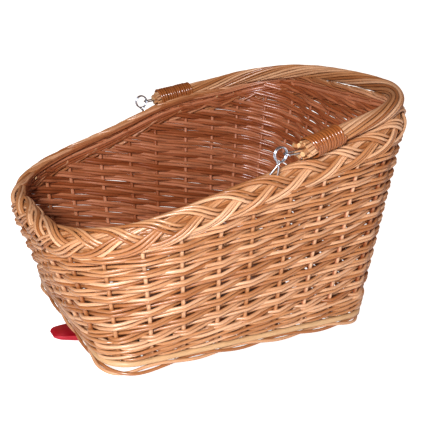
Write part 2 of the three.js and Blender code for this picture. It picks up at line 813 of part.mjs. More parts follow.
// Adapter body: one moulding, a flat deck with a hook rail down each side and a spine between them.
// Each rail has a hook slot, open to the high end, and a notch for the carrier's other cross rail.
const deckTop = matBottom - seatGap;
const deckUnderside = deckTop - deckThickness;
const adapterLow = adapterCentreX - adapterLength / 2;
const adapterHigh = adapterCentreX + adapterLength / 2;
const railInner = adapterWidth / 2 - railThickness;
const slotWidth = railDiameter + railSlack;
const slotTop = railBedHeight + slotWidth;
const deckShape = roundedOutline(adapterLength, adapterWidth, adapterCornerRadius);
const adapterBlock = slab(deckShape, 0, deckTop).translate(adapterCentreX, 0, 0);
const spineHalf = spineThickness / 2;
const bridgeX = adapterLow + bridgeInset;
const bridgeEnd = bridgeX + bridgeThickness;
const spineStart = notchX + slotWidth / 2 + slideTravel + 8;
const past = adapterLength;
const channels = [-1, 1].map((side) => {
  const [near, far] = [side * spineHalf, side * railInner];
  return block(spineStart, past, Math.min(near, far), Math.max(near, far), -1, deckUnderside);
});
const latchRoom = block(bridgeEnd, spineStart + 1, -railInner, railInner, -1, deckUnderside);
const lowEndRoom = block(-past, bridgeX, -railInner, railInner, -1, deckUnderside);
const underBridge = block(-past, spineStart, -railInner, railInner, -1, bridgeBottom);
const hookX = adapterHigh - hookDepth;
const hookSlot = block(hookX, past, -adapterWidth, adapterWidth, railBedHeight, slotTop);
const notchLow = notchX - slotWidth / 2;
const notchHigh = notchX + slotWidth / 2;
const notch = block(notchLow, notchHigh, -adapterWidth, adapterWidth, -1, slotTop);
const slideGroove = block(
  -past,
  notchHigh + 8,
  -railInner - slideGrip - runGap,
  railInner + slideGrip + runGap,
  slideBottom - runGap,
  slideBottom + slideThickness + runGap,
);
const pegRadius = springDiameter / 2 - springWire - 0.6;
const bridgePeg = bar(bridgeEnd - 1, bridgeEnd + 5, 0, springHeight, pegRadius, 8);
const adapterShell = cut(adapterBlock, [...channels, latchRoom, lowEndRoom, underBridge, slideGroove]);
const adapterCuts = [hookSlot, notch, ...screwHoles(deckUnderside - 1, deckTop + 1)];
addPart('adapter_body', cut(join([adapterShell, bridgePeg]), adapterCuts), blackNylon);

// Latch slide: a flat plate in the tray's grooves, whose prongs close the notch under the rail
const slideTop = slideBottom + slideThickness;
const prongEnd = notchLow + slideTravel;
const slideRootEnd = adapterLow + 1;
const lugThickness = 3.4;
const lugX = bridgeEnd + springLength + 2 * seatGap;
const slideBody = block(
  slideRootEnd,
  lugX + lugThickness,
  -railInner - slideGrip,
  railInner + slideGrip,
  slideBottom,
  slideTop,
);
const prongs = [-1, 1].map((side) => {
  const outer = side * (railInner + slideGrip);
  const inner = side * (railInner + slideGrip - prongWidth);
  return block(lugX, prongEnd, Math.min(outer, inner), Math.max(outer, inner), slideBottom, slideTop);
});
const slideLug = block(lugX, lugX + lugThickness, -14, 14, slideTop - 1, springHeight + 7);
const lugPeg = bar(lugX - 5, lugX + 1, 0, springHeight, pegRadius, 8);
const slideWindow = block(bridgeEnd + 4, lugX - 4, -12, 12, slideBottom - 1, slideTop + 1);
addPart('latch_slide', cut(join([slideBody, ...prongs, slideLug, lugPeg]), [slideWindow]), blackNylon);

// Release tab: the red pull that sticks out below the low end, standing on the slide
const tabNeck = adapterLow + 10;
const tabProfile = [
  [tabNeck, slideTop + seatGap],
  [tabNeck, tabRootHeight],
  [-tabReach + 12, tabTipHeight - 1.6],
  [-tabReach + 4, tabTipHeight],
  [-tabReach, tabTipHeight - 2.2],
  [-tabReach + 1, tabTipHeight - tabThickness + 1.6],
  [-tabReach + 7, tabTipHeight - tabThickness - 0.6],
  [adapterLow - 8, tabRootHeight - tabThickness],
  [adapterLow - 3, slideTop + seatGap],
];
const tabShape = new THREE.Shape();
const tabTipRadius = 15;
const tabTipX = tabTipRadius - tabReach;
const tabTipY = tabHalfWidth - 2 - tabTipRadius;
tabShape.moveTo(tabNeck, -tabHalfWidth);
tabShape.lineTo(tabNeck, tabHalfWidth);
tabShape.lineTo(tabTipX, tabTipY + tabTipRadius);
tabShape.absarc(tabTipX, tabTipY, tabTipRadius, Math.PI / 2, Math.PI);
tabShape.absarc(tabTipX, -tabTipY, tabTipRadius, Math.PI, 1.5 * Math.PI);
const tabPlan = slab(new THREE.Shape(tabShape.getPoints(5)), 0, tabTipHeight + 5);
addPart('release_tab', common(sideProfile(tabProfile, tabHalfWidth + 2), tabPlan), redNylon);

// Latch spring: pushes the slide home, squeezed between the tray's cross bar and the slide's lug
const springPoints = [];
const springStepsPerTurn = 8;
const springStart = bridgeEnd + seatGap + springWire / 2;
const springRun = springLength - springWire;
const springMean = (springDiameter - springWire) / 2;
for (let i = 0; i <= springTurns * springStepsPerTurn; i++) {
  const angle = (2 * Math.PI * i) / springStepsPerTurn;
  const x = springStart + (springRun * i) / (springTurns * springStepsPerTurn);
  const z = springHeight + springMean * Math.sin(angle);
  springPoints.push(new THREE.Vector3(x, springMean * Math.cos(angle), z));
}
const springNormal = new THREE.Vector3(1, 0, 0);
addPart('latch_spring', tube(springPoints, springWire / 2, 5, springNormal), springSteel);
const springGap = leastSelfGap(springPoints, springStepsPerTurn, springWire);
console.log(`latch_spring: least gap between turns ${springGap.toFixed(2)} mm`);

// Clamp plate on the basket floor, with the four screws that draw the adapter up against the base
const plateBottom = matTop + seatGap;
const plateShape = roundedOutline(plateLength, plateWidth, 8, 3);
const plate = slab(plateShape, plateBottom, plateBottom + plateThickness).translate(screwCentreX, 0, 0);
const plateTop = plateBottom + plateThickness;
addPart('clamp_plate', cut(plate, screwHoles(plateBottom - 1, plateTop + 1)), zincSteel);
screwPlaces.forEach(([x, y], i) => {
  const headTop = deckUnderside - seatGap;
  const profile = [
    [0, headTop - screwHeadHeight],
    [screwHeadDiameter / 2 - 1, headTop - screwHeadHeight],
    [screwHeadDiameter / 2, headTop - screwHeadHeight + 1.2],
    [screwHeadDiameter / 2, headTop],
    [screwDiameter / 2, headTop],
    [screwDiameter / 2, plateTop + 1.5],
    [0, plateTop + 1.5],
  ].map(([radius, height]) => new THREE.Vector2(radius, height));
  const screw = new THREE.LatheGeometry(profile, 8).rotateX(Math.PI / 2).translate(x, y, 0);
  addPart(`clamp_screw_${i + 1}`, screw, zincSteel);
});

export default basket;
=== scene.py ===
import math

import bmesh
import bpy
import numpy as np
from mathutils import Matrix, Vector


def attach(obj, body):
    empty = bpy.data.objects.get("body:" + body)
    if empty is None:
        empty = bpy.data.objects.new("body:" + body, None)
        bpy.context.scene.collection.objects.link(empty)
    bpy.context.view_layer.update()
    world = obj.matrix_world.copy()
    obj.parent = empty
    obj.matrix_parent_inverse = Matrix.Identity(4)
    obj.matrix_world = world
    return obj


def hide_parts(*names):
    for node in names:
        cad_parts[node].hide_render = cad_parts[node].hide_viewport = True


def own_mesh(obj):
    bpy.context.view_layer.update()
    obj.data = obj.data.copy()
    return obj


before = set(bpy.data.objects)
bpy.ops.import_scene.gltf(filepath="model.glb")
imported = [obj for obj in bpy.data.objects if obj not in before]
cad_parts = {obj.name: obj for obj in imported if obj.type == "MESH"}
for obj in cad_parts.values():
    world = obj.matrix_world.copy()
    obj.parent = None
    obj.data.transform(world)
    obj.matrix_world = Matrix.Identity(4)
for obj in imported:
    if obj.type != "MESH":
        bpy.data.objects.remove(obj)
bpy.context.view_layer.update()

# A wicker basket for a bicycle's rear carrier. Sizes below are in millimetres, as a basket maker
# would give them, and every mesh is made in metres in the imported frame.
MM = 0.001


# --------------------------------------------------
# Camera: a short telephoto that looks at the basket's long side from above its low end.
CAMERA_AZIMUTH = math.radians(-28.23)
CAMERA_ELEVATION = math.radians(18.24)
CAMERA_ROLL = math.radians(1.88)
CAMERA_DISTANCE = 953.16
CAMERA_TARGET = Vector((25.23, 0.0, 137.77))
CAMERA_LENS = 62.45

level = math.cos(CAMERA_ELEVATION)
back = Vector((math.sin(CAMERA_AZIMUTH) * level, -math.cos(CAMERA_AZIMUTH) * level, math.sin(CAMERA_ELEVATION)))
right = (-back).cross(Vector((0, 0, 1))).normalized()
upward = right.cross(-back)
rolled_right = math.cos(CAMERA_ROLL) * right + math.sin(CAMERA_ROLL) * upward
rolled_up = math.cos(CAMERA_ROLL) * upward - math.sin(CAMERA_ROLL) * right


def new_object(name, data):
    """A new object of the scene for a mesh, a light or a camera."""
    made = bpy.data.objects.new(name, data)
    bpy.context.scene.collection.objects.link(made)
    return made


camera = new_object("camera", bpy.data.cameras.new("camera"))
camera.data.lens = CAMERA_LENS
camera.data.sensor_width = 36.0
camera.data.clip_start = 0.01
camera.data.clip_end = 50.0
camera.matrix_world = Matrix.Translation((CAMERA_TARGET + back * CAMERA_DISTANCE) * MM) @ Matrix(
    (rolled_right, rolled_up, back)
).transposed().to_4x4()
bpy.context.scene.camera = camera


# --------------------------------------------------
# Studio: a white paper floor under a soft sky, a small strong softbox in front at the left and a
# large weak one at the right. The paper is overexposed to plain white, as in a catalogue photograph.
PAPER_WHITE = 0xFCFCFC
PAPER_ROUGHNESS = 0.9
PAPER_GLOW, PAPER_BOUNCE = 1.0, 0.07
SKY_WHITE, SKY_WARM = 0xFFFFFF, 0xFFD2BC
SKY_STRENGTH, SKY_SEEN = 0.21, 1.2
KEY_WHITE = 0xEAF3FF
PHOTO_GAMMA = 0.86
FLOOR_HALF = 4000


def linear(hex_colour):
    """An sRGB colour given as 0xRRGGBB, as linear RGBA."""
    parts = [((hex_colour >> shift) & 255) / 255 for shift in (16, 8, 0)]
    return [p / 12.92 if p <= 0.04045 else ((p + 0.055) / 1.055) ** 2.4 for p in parts] + [1.0]


def add_node(tree, kind, inputs=None, **settings):
    """Adds one node, sets its properties, and fills its inputs with values or links."""
    node = tree.nodes.new(kind)
    for name, value in settings.items():
        setattr(node, name, value)
    for key, value in (inputs or {}).items():
        socket = node.inputs[key]
        if isinstance(value, bpy.types.NodeSocket):
            tree.links.new(value, socket)
        else:
            socket.default_value = value
    return node


def calculate(tree, operation, *values, clamp=False):
    """The result of a Math node on values or links."""
    node = add_node(tree, "ShaderNodeMath", dict(enumerate(values)), operation=operation, use_clamp=clamp)
    return node.outputs[0]


def ranged(tree, value, low, high, to_low=0.0, to_high=1.0):
    """A value brought from one range to another and held inside it."""
    given = {"Value": value, "From Min": low, "From Max": high, "To Min": to_low, "To Max": to_high}
    return add_node(tree, "ShaderNodeMapRange", given).outputs[0]


def tinted(tree, part, colour, other, blend="MIX"):
    """A colour mixed with another one by a part of 0 to 1."""
    given = {0: part, 6: colour, 7: other}
    return add_node(tree, "ShaderNodeMix", given, data_type="RGBA", blend_type=blend).outputs[2]


def noise(tree, place, scale, detail):
    """Noise of about 0 to 1 at a place, with a number of cells to the place's unit."""
    given = {"Vector": place, "Scale": scale, "Detail": detail}
    return add_node(tree, "ShaderNodeTexNoise", given).outputs[0]


def new_material(name):
    """An empty node material: returns the material, its tree and its Principled shader."""
    material = bpy.data.materials.new(name)
    material.use_nodes = True
    tree = material.node_tree
    tree.nodes.clear()
    shader = add_node(tree, "ShaderNodeBsdfPrincipled")
    add_node(tree, "ShaderNodeOutputMaterial", {"Surface": shader.outputs["BSDF"]})
    return material, tree, shader


def plain_mesh(name, points, faces, material, smooth=True):
    """A new mesh object from points in millimetres."""
    mesh = bpy.data.meshes.new(name)
    mesh.from_pydata([tuple(p) for p in np.asarray(points, float) * MM], [], [tuple(map(int, f)) for f in faces])
    mesh.update()
    if smooth:
        mesh.shade_smooth()
    mesh.materials.append(material)
    return new_object(name, mesh)


paper, tree, shader = new_material("white_paper_sweep")
shader.inputs["Base Color"].default_value = linear(PAPER_WHITE)
shader.inputs["Roughness"].default_value = PAPER_ROUGHNESS
shader.inputs["Emission Color"].default_value = linear(PAPER_WHITE)
seen = add_node(tree, "ShaderNodeLightPath").outputs["Is Camera Ray"]
glow = add_node(tree, "ShaderNodeMix", {0: seen, 2: PAPER_BOUNCE, 3: PAPER_GLOW}).outputs[0]
tree.links.new(glow, shader.inputs["Emission Strength"])
floor = plain_mesh(
    "floor",
    [(x * FLOOR_HALF, y * FLOOR_HALF, 0) for x, y in ((-1, -1), (1, -1), (1, 1), (-1, 1))],
    [(0, 1, 2, 3)],
    paper,
    smooth=False,
)

world = bpy.data.worlds.new("studio")
world.use_nodes = True
sky = world.node_tree.nodes["Background"]
seen = add_node(world.node_tree, "ShaderNodeLightPath").outputs["Is Camera Ray"]
strength = add_node(world.node_tree, "ShaderNodeMix", {0: seen, 2: SKY_STRENGTH, 3: SKY_SEEN}).outputs[0]
world.node_tree.links.new(strength, sky.inputs["Strength"])
shade = tinted(world.node_tree, seen, linear(SKY_WARM), linear(SKY_WHITE))
world.node_tree.links.new(shade, sky.inputs["Color"])
bpy.context.scene.world = world
bpy.context.scene.view_settings.view_transform = "Standard"
bpy.context.scene.view_settings.gamma = PHOTO_GAMMA


def softbox(name, place, aim, side, power):
    """A square area light at a place in millimetres, turned to its aim."""
    light = bpy.data.lights.new(name, "AREA")
    light.shape = "SQUARE"
    light.size = side * MM
    light.energy = power
    light.color = linear(KEY_WHITE)[:3]
    lamp = new_object(name, light)
    lamp.location = Vector(place) * MM
    lamp.rotation_mode = "QUATERNION"
    lamp.rotation_quaternion = (Vector(place) - Vector(aim)).to_track_quat("Z", "Y")


softbox("key_softbox", (-760, -1040, 720), (0, 0, 150), 240, 27.5)
softbox("side_softbox", (1300, -700, 500), (0, 0, 150), 900, 3.5)


# --------------------------------------------------
# Stakes: 32 uprights of buff willow, rods boiled in their bark and peeled, which gives them their
# orange-brown skin with a soft satin shine. Each stands from the base up into the border.
RIM_LENGTH, RIM_WIDTH_LOW, RIM_WIDTH_HIGH = 440, 343, 349.5
RIM_CORNER_LOW, RIM_CORNER_HIGH = 126, 88
RIM_LOW, RIM_HIGH, RIM_SAG = 179.3, 298.6, 2.8
BORDER_HEIGHT, BORDER_THICKNESS, BORDER_OVERHANG = 33.5, 26, 3
BASE_LENGTH, BASE_WIDTH, BASE_CORNER, BASE_SHIFT = 350, 289, 39, 0.8
WALL_FOOT = 30
STAKES = 32
STAKE_SHIFT, STAKE_LEAN = 0.47, 0.45
FAR_SHIFT, FAR_LEAN, FAR_STAKE = 0.43, 0.55, 6
STAKE_THICKNESS = 5.2
STAKE_INSET = 6.2
INTO_BORDER = 21
BEHIND_SLOPE, BEHIND_STEP, BEHIND_RUN = 0.3, 2.5, 8
PLAN_STEP = 4e-3
FAR_RISE, FAR_RISE_PLACE, FAR_RISE_REACH, FAR_RISE_RUN = 15, 34, 88, 80
STAKE_FOOT, STAKE_POINTS = 40, 14
STAKE_PITCH = 42
WILLOW_DARK, WILLOW_MID, WILLOW_LIGHT = 0xA4683A, 0xBF885A, 0xDCAE86
WILLOW_STREAK = 0x7A4220
# Painted shade: a colour multiplied into the sides of the rods that face into the basket
WILLOW_INNER_SHADE = 0xE4BFB4
WILLOW_CUT = 0xDDB583
WILLOW_ROUGHNESS = 0.31
SWELLS_PER_METRE, SWELL_SHIFT = 45.0, 7.31


def unit(vectors):
    """Vectors brought to a length of 1."""
    return vectors / np.linalg.norm(vectors, axis=-1, keepdims=True)


def lengths_along(points):
    """How far along a line of points each of them lies."""
    return np.r_[0, np.cumsum(np.linalg.norm(np.diff(points, axis=0), axis=1))]


def between(at, along, points):
    """The places at given lengths along a line of points."""
    return np.stack([np.interp(at, along, column) for column in points.T], -1)


def rounded_plan(length, width_low, width_high, corner_low, corner_high, shift):
    """A closed plan with rounded corners, as a function of the share of its length."""
    corners = [
        (length / 2, width_high / 2, corner_high),
        (-length / 2, width_low / 2, corner_low),
        (-length / 2, -width_low / 2, corner_low),
        (length / 2, -width_high / 2, corner_high),
    ]
    points = []
    for i, (x, y, radius) in enumerate(corners):
        corner = np.array([x, y])
        before = np.array(corners[i - 1][:2]) - corner
        after = np.array(corners[(i + 1) % 4][:2]) - corner
        before, after = before / np.linalg.norm(before), after / np.linalg.norm(after)
        half = math.acos(before @ after) / 2
        inward = (before + after) / np.linalg.norm(before + after)
        centre = corner + inward * radius / math.sin(half)
        start = corner + before * radius / math.tan(half) - centre
        angles = math.atan2(start[1], start[0]) + (math.pi - 2 * half) * np.linspace(0, 1, 25)
        points += [centre + radius * np.array([math.cos(a), math.sin(a)]) + (shift, 0) for a in angles]
    points = np.array(points + [points[0]])
    along = lengths_along(points)

    def plan(share):
        return between(np.mod(share, 1) * along[-1], along, points)

    return plan


rim_plan = rounded_plan(RIM_LENGTH, RIM_WIDTH_LOW, RIM_WIDTH_HIGH, RIM_CORNER_LOW, RIM_CORNER_HIGH, 0)
base_plan = rounded_plan(BASE_LENGTH, BASE_WIDTH, BASE_WIDTH, BASE_CORNER, BASE_CORNER, BASE_SHIFT)


def rim_height(place):
    """The top of the border over a place of its plan. The far side rises sooner than the near one."""
    x, y = place[..., 0], place[..., 1]
    along = (x + RIM_LENGTH / 2) / RIM_LENGTH
    rise = FAR_RISE * np.exp(-(((x - FAR_RISE_PLACE) / FAR_RISE_REACH) ** 2)) * np.clip(y / FAR_RISE_RUN, 0, 1)
    return RIM_LOW + (RIM_HIGH - RIM_LOW) * along + RIM_SAG * 4 * along * (along - 1) + rise


def far_side(stake):
    """1 in the middle of the far side and 0 on the near side, where the stakes lean less."""
    return (0.5 + 0.5 * np.cos(2 * np.pi * (np.asarray(stake, float) - FAR_STAKE) / STAKES)) ** 2


def seen_inside(stake):
    """1 on the far side and the high end, whose inner face shows, and 0 on the near side."""
    return np.clip(0.5 + 1.1 * np.cos(2 * np.pi * (np.asarray(stake, float) - FAR_STAKE + 3) / STAKES), 0, 1)


def on_plan(plan, share, inset, height):
    """Points along a plan, at a depth inside it and a height."""
    share = np.asarray(share, float)
    tangent = unit(plan(share + PLAN_STEP) - plan(share - PLAN_STEP))
    outward = np.stack([tangent[..., 1], -tangent[..., 0]], -1)
    place = plan(share) - outward * np.broadcast_to(inset, share.shape)[..., None]
    return np.concatenate([place, np.broadcast_to(height, share.shape)[..., None]], -1)


def on_wall(stake, height, inset):
    """Points of the wall at a place counted in stakes, at a height and a depth below its outer face."""
    stake, height, inset = np.broadcast_arrays(*(np.asarray(v, float) for v in (stake, height, inset)))

    def face(share):
        rim = rim_plan(share)
        top = rim_height(rim) - BORDER_HEIGHT
        climb = ((height - WALL_FOOT) / (top - WALL_FOOT))[..., None]
        foot = base_plan(share - (STAKE_LEAN + FAR_LEAN * far_side(stake)) / STAKES)
        return foot * (1 - climb) + rim * (1 - BORDER_OVERHANG / (RIM_LENGTH / 2)) * climb

    return on_plan(face, (stake + STAKE_SHIFT) / STAKES, inset, height)


def border_underside(stake):
    """The height at which the wall's outer face meets the border."""
    return rim_height(rim_plan((np.asarray(stake) + STAKE_SHIFT) / STAKES)) - BORDER_HEIGHT


# Slow random drift that a hand-worked rod has, the same in each run
def drift(rng, count, step):
    """Smooth noise of unit size: random values every `step` points, joined by a smooth curve."""
    knots = rng.normal(size=int(count / step) + 4)
    at = np.arange(count) / step
    low = at.astype(int)
    blend = 0.5 - 0.5 * np.cos(np.pi * (at - low))
    return knots[low] * (1 - blend) + knots[low + 1] * blend


def rods_tree():
    """Geometry Nodes that turn each line of points into a round willow rod with its own tone."""
    tree = bpy.data.node_groups.new("willow_rods", "GeometryNodeTree")
    for name, kind in (
        ("Lines", "Geometry"),
        ("Sides", "Int"),
        ("Seed", "Int"),
        ("Unevenness", "Float"),
        ("Skin", "Material"),
        ("Cut end", "Material"),
    ):
        tree.interface.new_socket(name, in_out="INPUT", socket_type="NodeSocket" + kind)
    tree.interface.new_socket("Rods", in_out="OUTPUT", socket_type="NodeSocketGeometry")

    def stored(geometry, name, value):
        """The geometry with a value kept on its points."""
        given = {"Geometry": geometry, "Name": name, "Value": value}
        node = add_node(tree, "GeometryNodeStoreNamedAttribute", given, data_type="FLOAT", domain="POINT")
        return node.outputs["Geometry"]

    given = add_node(tree, "NodeGroupInput").outputs
    curves = add_node(tree, "GeometryNodeMeshToCurve", {"Mesh": given["Lines"]}).outputs["Curve"]
    curve_of = add_node(tree, "GeometryNodeCurveOfPoint").outputs["Curve Index"]
    draw = {"ID": curve_of, "Seed": given["Seed"]}
    tone = add_node(tree, "FunctionNodeRandomValue", draw, data_type="FLOAT").outputs[1]
    length = add_node(tree, "GeometryNodeSplineParameter").outputs["Length"]
    measured = stored(stored(curves, "tone", tone), "along", length)
    # The rod swells and thins along its length, each one in its own way
    thickness = add_node(tree, "GeometryNodeInputNamedAttribute", {"Name": "thickness"}, data_type="FLOAT").outputs[0]
    shifted = calculate(tree, "MULTIPLY", curve_of, SWELL_SHIFT)
    scaled = calculate(tree, "MULTIPLY", length, SWELLS_PER_METRE)
    spot = add_node(tree, "ShaderNodeCombineXYZ", {"X": scaled, "Y": shifted}).outputs[0]
    centred = calculate(tree, "SUBTRACT", noise(tree, spot, 1.0, 0.0), 0.5)
    uneven = calculate(tree, "MULTIPLY_ADD", centred, given["Unevenness"], 1.0)
    radius = calculate(tree, "MULTIPLY", calculate(tree, "MULTIPLY", thickness, 0.5), uneven)
    profile = add_node(tree, "GeometryNodeCurvePrimitiveCircle", {"Resolution": given["Sides"], "Radius": 1.0})
    turned = add_node(tree, "GeometryNodeSplineParameter").outputs["Factor"]
    marked = stored(profile.outputs["Curve"], "around", turned)
    swept = add_node(
        tree,
        "GeometryNodeCurveToMesh",
        {"Curve": measured, "Profile Curve": marked, "Scale": radius, "Fill Caps": True},
    ).outputs["Mesh"]
    smooth = add_node(tree, "GeometryNodeSetShadeSmooth", {"Geometry": swept}).outputs[0]
    whole = add_node(tree, "GeometryNodeRealizeInstances", {"Geometry": smooth}).outputs[0]
    skinned = add_node(tree, "GeometryNodeSetMaterial", {"Geometry": whole, "Material": given["Skin"]}).outputs[0]
    face_corners = add_node(tree, "GeometryNodeInputMeshFaceNeighbors").outputs["Vertex Count"]
    many = {2: face_corners, 3: 4}
    is_end = add_node(tree, "FunctionNodeCompare", many, data_type="INT", operation="GREATER_THAN").outputs[0]
    ended = add_node(
        tree,
        "GeometryNodeSetMaterial",
        {"Geometry": skinned, "Selection": is_end, "Material": given["Cut end"]},
    ).outputs[0]
    add_node(tree, "NodeGroupOutput", {"Rods": ended})
    return tree


RODS = rods_tree()


def keep_values(mesh, **named):
    """Keeps named values on a mesh's points, for its material and its nodes."""
    for name, values in named.items():
        mesh.attributes.new(name, "FLOAT", "POINT").data.foreach_set("value", values.astype(np.float32))


def worked_rods(name, lines, thicknesses, skin, cut_end, sides=8, seed=1, unevenness=0.16, kept=None):
    """One mesh of round rods: each line is a row of points in millimetres, with its thicknesses.

    The last argument is painted shade: at 1 the sides that face into the basket are painted darker and redder."""

    def by_point(values):
        """One value for each point, from values for each line or for each of its points."""
        return np.concatenate([np.broadcast_to(v, len(l)) for v, l in zip(values, lines)])

    points = np.concatenate(lines) * MM
    starts = np.cumsum([0] + [len(l) for l in lines])
    edges = [(i, i + 1) for a, b in zip(starts, starts[1:]) for i in range(a, b - 1)]
    mesh = bpy.data.meshes.new(name)
    mesh.from_pydata(points.tolist(), edges, [])
    keep_values(mesh, thickness=by_point(thicknesses) * MM, kept=by_point(kept or [0.0] * len(lines)))
    line_piece = new_object(name + "_lines", mesh)
    modifier = line_piece.modifiers.new("rods", "NODES")
    modifier.node_group = RODS
    given = {"Sides": sides, "Seed": seed, "Unevenness": unevenness, "Skin": skin, "Cut end": cut_end}
    for socket in RODS.interface.items_tree:
        if socket.name in given:
            modifier[socket.identifier] = given[socket.name]
    depsgraph = bpy.context.evaluated_depsgraph_get()
    made = bpy.data.meshes.new_from_object(line_piece.evaluated_get(depsgraph), depsgraph=depsgraph)
    made.name = name
    bpy.data.objects.remove(line_piece)
    return new_object(name, made)


def willow_material(name, dark, mid, light, streak, roughness=WILLOW_ROUGHNESS):
    """Willow skin: one tone for each rod, mottled along it, with fine streaks, darker bud scars and painted shade on
    the sides that face into the basket.
    """
    material, tree, shader = new_material(name)
    tone, along, around, kept = (
        add_node(tree, "ShaderNodeAttribute", attribute_name=attribute).outputs["Fac"]
        for attribute in ("tone", "along", "around", "kept")
    )
    rod = calculate(tree, "MULTIPLY", tone, 97.0)

    def on_skin(length, cells_around):
        """A place on the skin, in steps of a length in metres along the rod and in cells round it."""
        steps = {"X": calculate(tree, "MULTIPLY", along, 1 / length), "Z": rod}
        steps["Y"] = calculate(tree, "MULTIPLY", around, cells_around)
        return add_node(tree, "ShaderNodeCombineXYZ", steps).outputs[0]

    # Mottling: patches 40 mm long on a rod
    patch_along = calculate(tree, "MULTIPLY", along, 1 / 0.040)
    patch_place = add_node(tree, "ShaderNodeCombineXYZ", {"X": patch_along, "Y": rod}).outputs[0]
    patch_part = ranged(tree, noise(tree, patch_place, 1.0, 2.0), 0.3, 0.7, -0.1, 0.1)
    mixed = calculate(tree, "ADD", tone, patch_part, clamp=True)
    ramp = add_node(tree, "ShaderNodeValToRGB", {"Fac": mixed})
    ramp.color_ramp.elements[0].color = linear(dark)
    ramp.color_ramp.elements[1].color = linear(light)
    ramp.color_ramp.elements.new(0.45).color = linear(mid)
    # Streaks of the peeled surface: lines 0.7 mm wide and some 15 mm long
    lines = noise(tree, on_skin(0.015, 16.0), 1.0, 3.0)
    streaked = tinted(tree, ranged(tree, lines, 0.5, 0.78, 0.0, 0.55), ramp.outputs[0], linear(streak))
    # Bud scars: small brown marks about 60 mm apart on a rod
    scar_place = {"Vector": on_skin(0.060, 0.35), "Scale": 1.0}
    scars = add_node(tree, "ShaderNodeTexVoronoi", scar_place).outputs["Distance"]
    scarred = tinted(tree, ranged(tree, scars, 0.02, 0.07, 0.7, 0.0), streaked, linear(streak))
    # Painted shade: the sides that face into the basket or downwards are painted darker and redder, like the shade
    # inside it
    place = add_node(tree, "ShaderNodeTexCoord")
    flat = {0: place.outputs["Object"], 1: (1, 1, 0)}
    level = add_node(tree, "ShaderNodeVectorMath", flat, operation="MULTIPLY").outputs[0]
    outward = add_node(tree, "ShaderNodeVectorMath", {0: level}, operation="NORMALIZE").outputs[0]
    upward = add_node(tree, "ShaderNodeVectorMath", {0: outward, 1: (0, 0, 0.45)}, operation="ADD").outputs[0]
    both = {0: place.outputs["Normal"], 1: upward}
    facing = add_node(tree, "ShaderNodeVectorMath", both, operation="DOT_PRODUCT").outputs["Value"]
    turned_in = ranged(tree, facing, -0.25, 0.35, 1.0, 0.0)
    kept_part = calculate(tree, "MULTIPLY", kept, turned_in, clamp=True)
    skin = tinted(tree, kept_part, scarred, linear(WILLOW_INNER_SHADE), blend="MULTIPLY")
    tree.links.new(skin, shader.inputs["Base Color"])
    shader.inputs["Roughness"].default_value = roughness
    shader.inputs["IOR"].default_value = 1.5
    shader.inputs["Specular IOR Level"].default_value = 0.75
    grain = add_node(tree, "ShaderNodeBump", {"Height": lines, "Strength": 0.25, "Distance": 0.0004}).outputs[0]
    tree.links.new(grain, shader.inputs["Normal"])
    return material


def cut_wood_material(name, colour):
    """The pale pith and wood of a rod cut across, with a dry surface."""
    material, tree, shader = new_material(name)
    place = add_node(tree, "ShaderNodeTexCoord").outputs["Object"]
    part = ranged(tree, noise(tree, place, 900.0, 2.0), 0.35, 0.65, 0.0, 0.5)
    mixed = tinted(tree, part, linear(colour), linear(WILLOW_STREAK))
    tree.links.new(mixed, shader.inputs["Base Color"])
    shader.inputs["Roughness"].default_value = 0.75
    return material


buff_willow = willow_material("buff_willow_skin", WILLOW_DARK, WILLOW_MID, WILLOW_LIGHT, WILLOW_STREAK)
cut_willow = cut_wood_material("cut_willow_end", WILLOW_CUT)

rng = np.random.default_rng(11)
stake_wander = rng.uniform(-0.06, 0.06, STAKES)


def stake_place(stake):
    """Where a place counted in stakes really lies, since a maker spaces the stakes by eye."""
    turn = np.mod(np.asarray(stake, float), STAKES)
    wander = np.interp(turn, np.arange(STAKES + 1), np.r_[stake_wander, stake_wander[0]])
    return np.asarray(stake, float) + wander + FAR_SHIFT * far_side(stake)


def behind_border(stake, height):
    """How much further in a rod runs where it passes behind the border."""
    above = np.clip(height - border_underside(stake) - 2, 0, None)
    return BEHIND_SLOPE * above + BEHIND_STEP * np.clip(above / BEHIND_RUN, 0, 1)


lines, thicknesses = [], []
for i in range(STAKES):
    top = float(border_underside(i)) + INTO_BORDER
    heights = np.linspace(STAKE_FOOT, top, STAKE_POINTS)
    wobble = 0.5 * drift(rng, STAKE_POINTS, 4)
    inset = STAKE_INSET + behind_border(i, heights) + 0.2 * drift(rng, STAKE_POINTS, 5)
    lines.append(on_wall(stake_place(i) + wobble / STAKE_PITCH, heights, inset))
    thicknesses.append(np.linspace(STAKE_THICKNESS, STAKE_THICKNESS - 0.5, STAKE_POINTS))
# The stakes get painted shade on their inner sides
stakes = worked_rods("stakes", lines, thicknesses, buff_willow, cut_willow, seed=3, kept=[1.0] * STAKES)
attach(stakes, "basket")
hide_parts(*[f"stake_{i:02d}" for i in range(1, STAKES + 1)])


# --------------------------------------------------
# Side weave: French randing in pairs of tapered rods. Each pair passes in front of one stake and
# behind the next, and climbs one row at each stake. The rods are stiff: they come up to a stake
# level, kink over it and run straight up behind the next one.
ROW_PITCH = 6.9
WEAVE_FOOT = 63
FOOT_SLACK, SLACK_ROWS = 14, 9
WEAVER_BUTT, WEAVER_TIP = 4.05, 3.75
WEAVER_SPREAD = 4.2
WEAVE_SWING = 4.2
FAR_BEAT, FAR_BUTT = -0.75, 0.2
NEAR_BEAT = 0.5
STOPS = [0, 0.09, 0.3, 0.5, 0.7, 0.91]
WEAVE_STEPS, TAPER_STEPS = 42, 34
START_DIP, START_RUN = 5, 0.4
HAND_BANDS, HAND_BAND_HEIGHT = 60, 26
HAND_POINTS, HAND_POINTS_PER_STAKE = 200, 5

lines, thicknesses = [], []
rng = np.random.default_rng(23)
hand = [drift(rng, HAND_POINTS, 6) for _ in range(HAND_BANDS)]


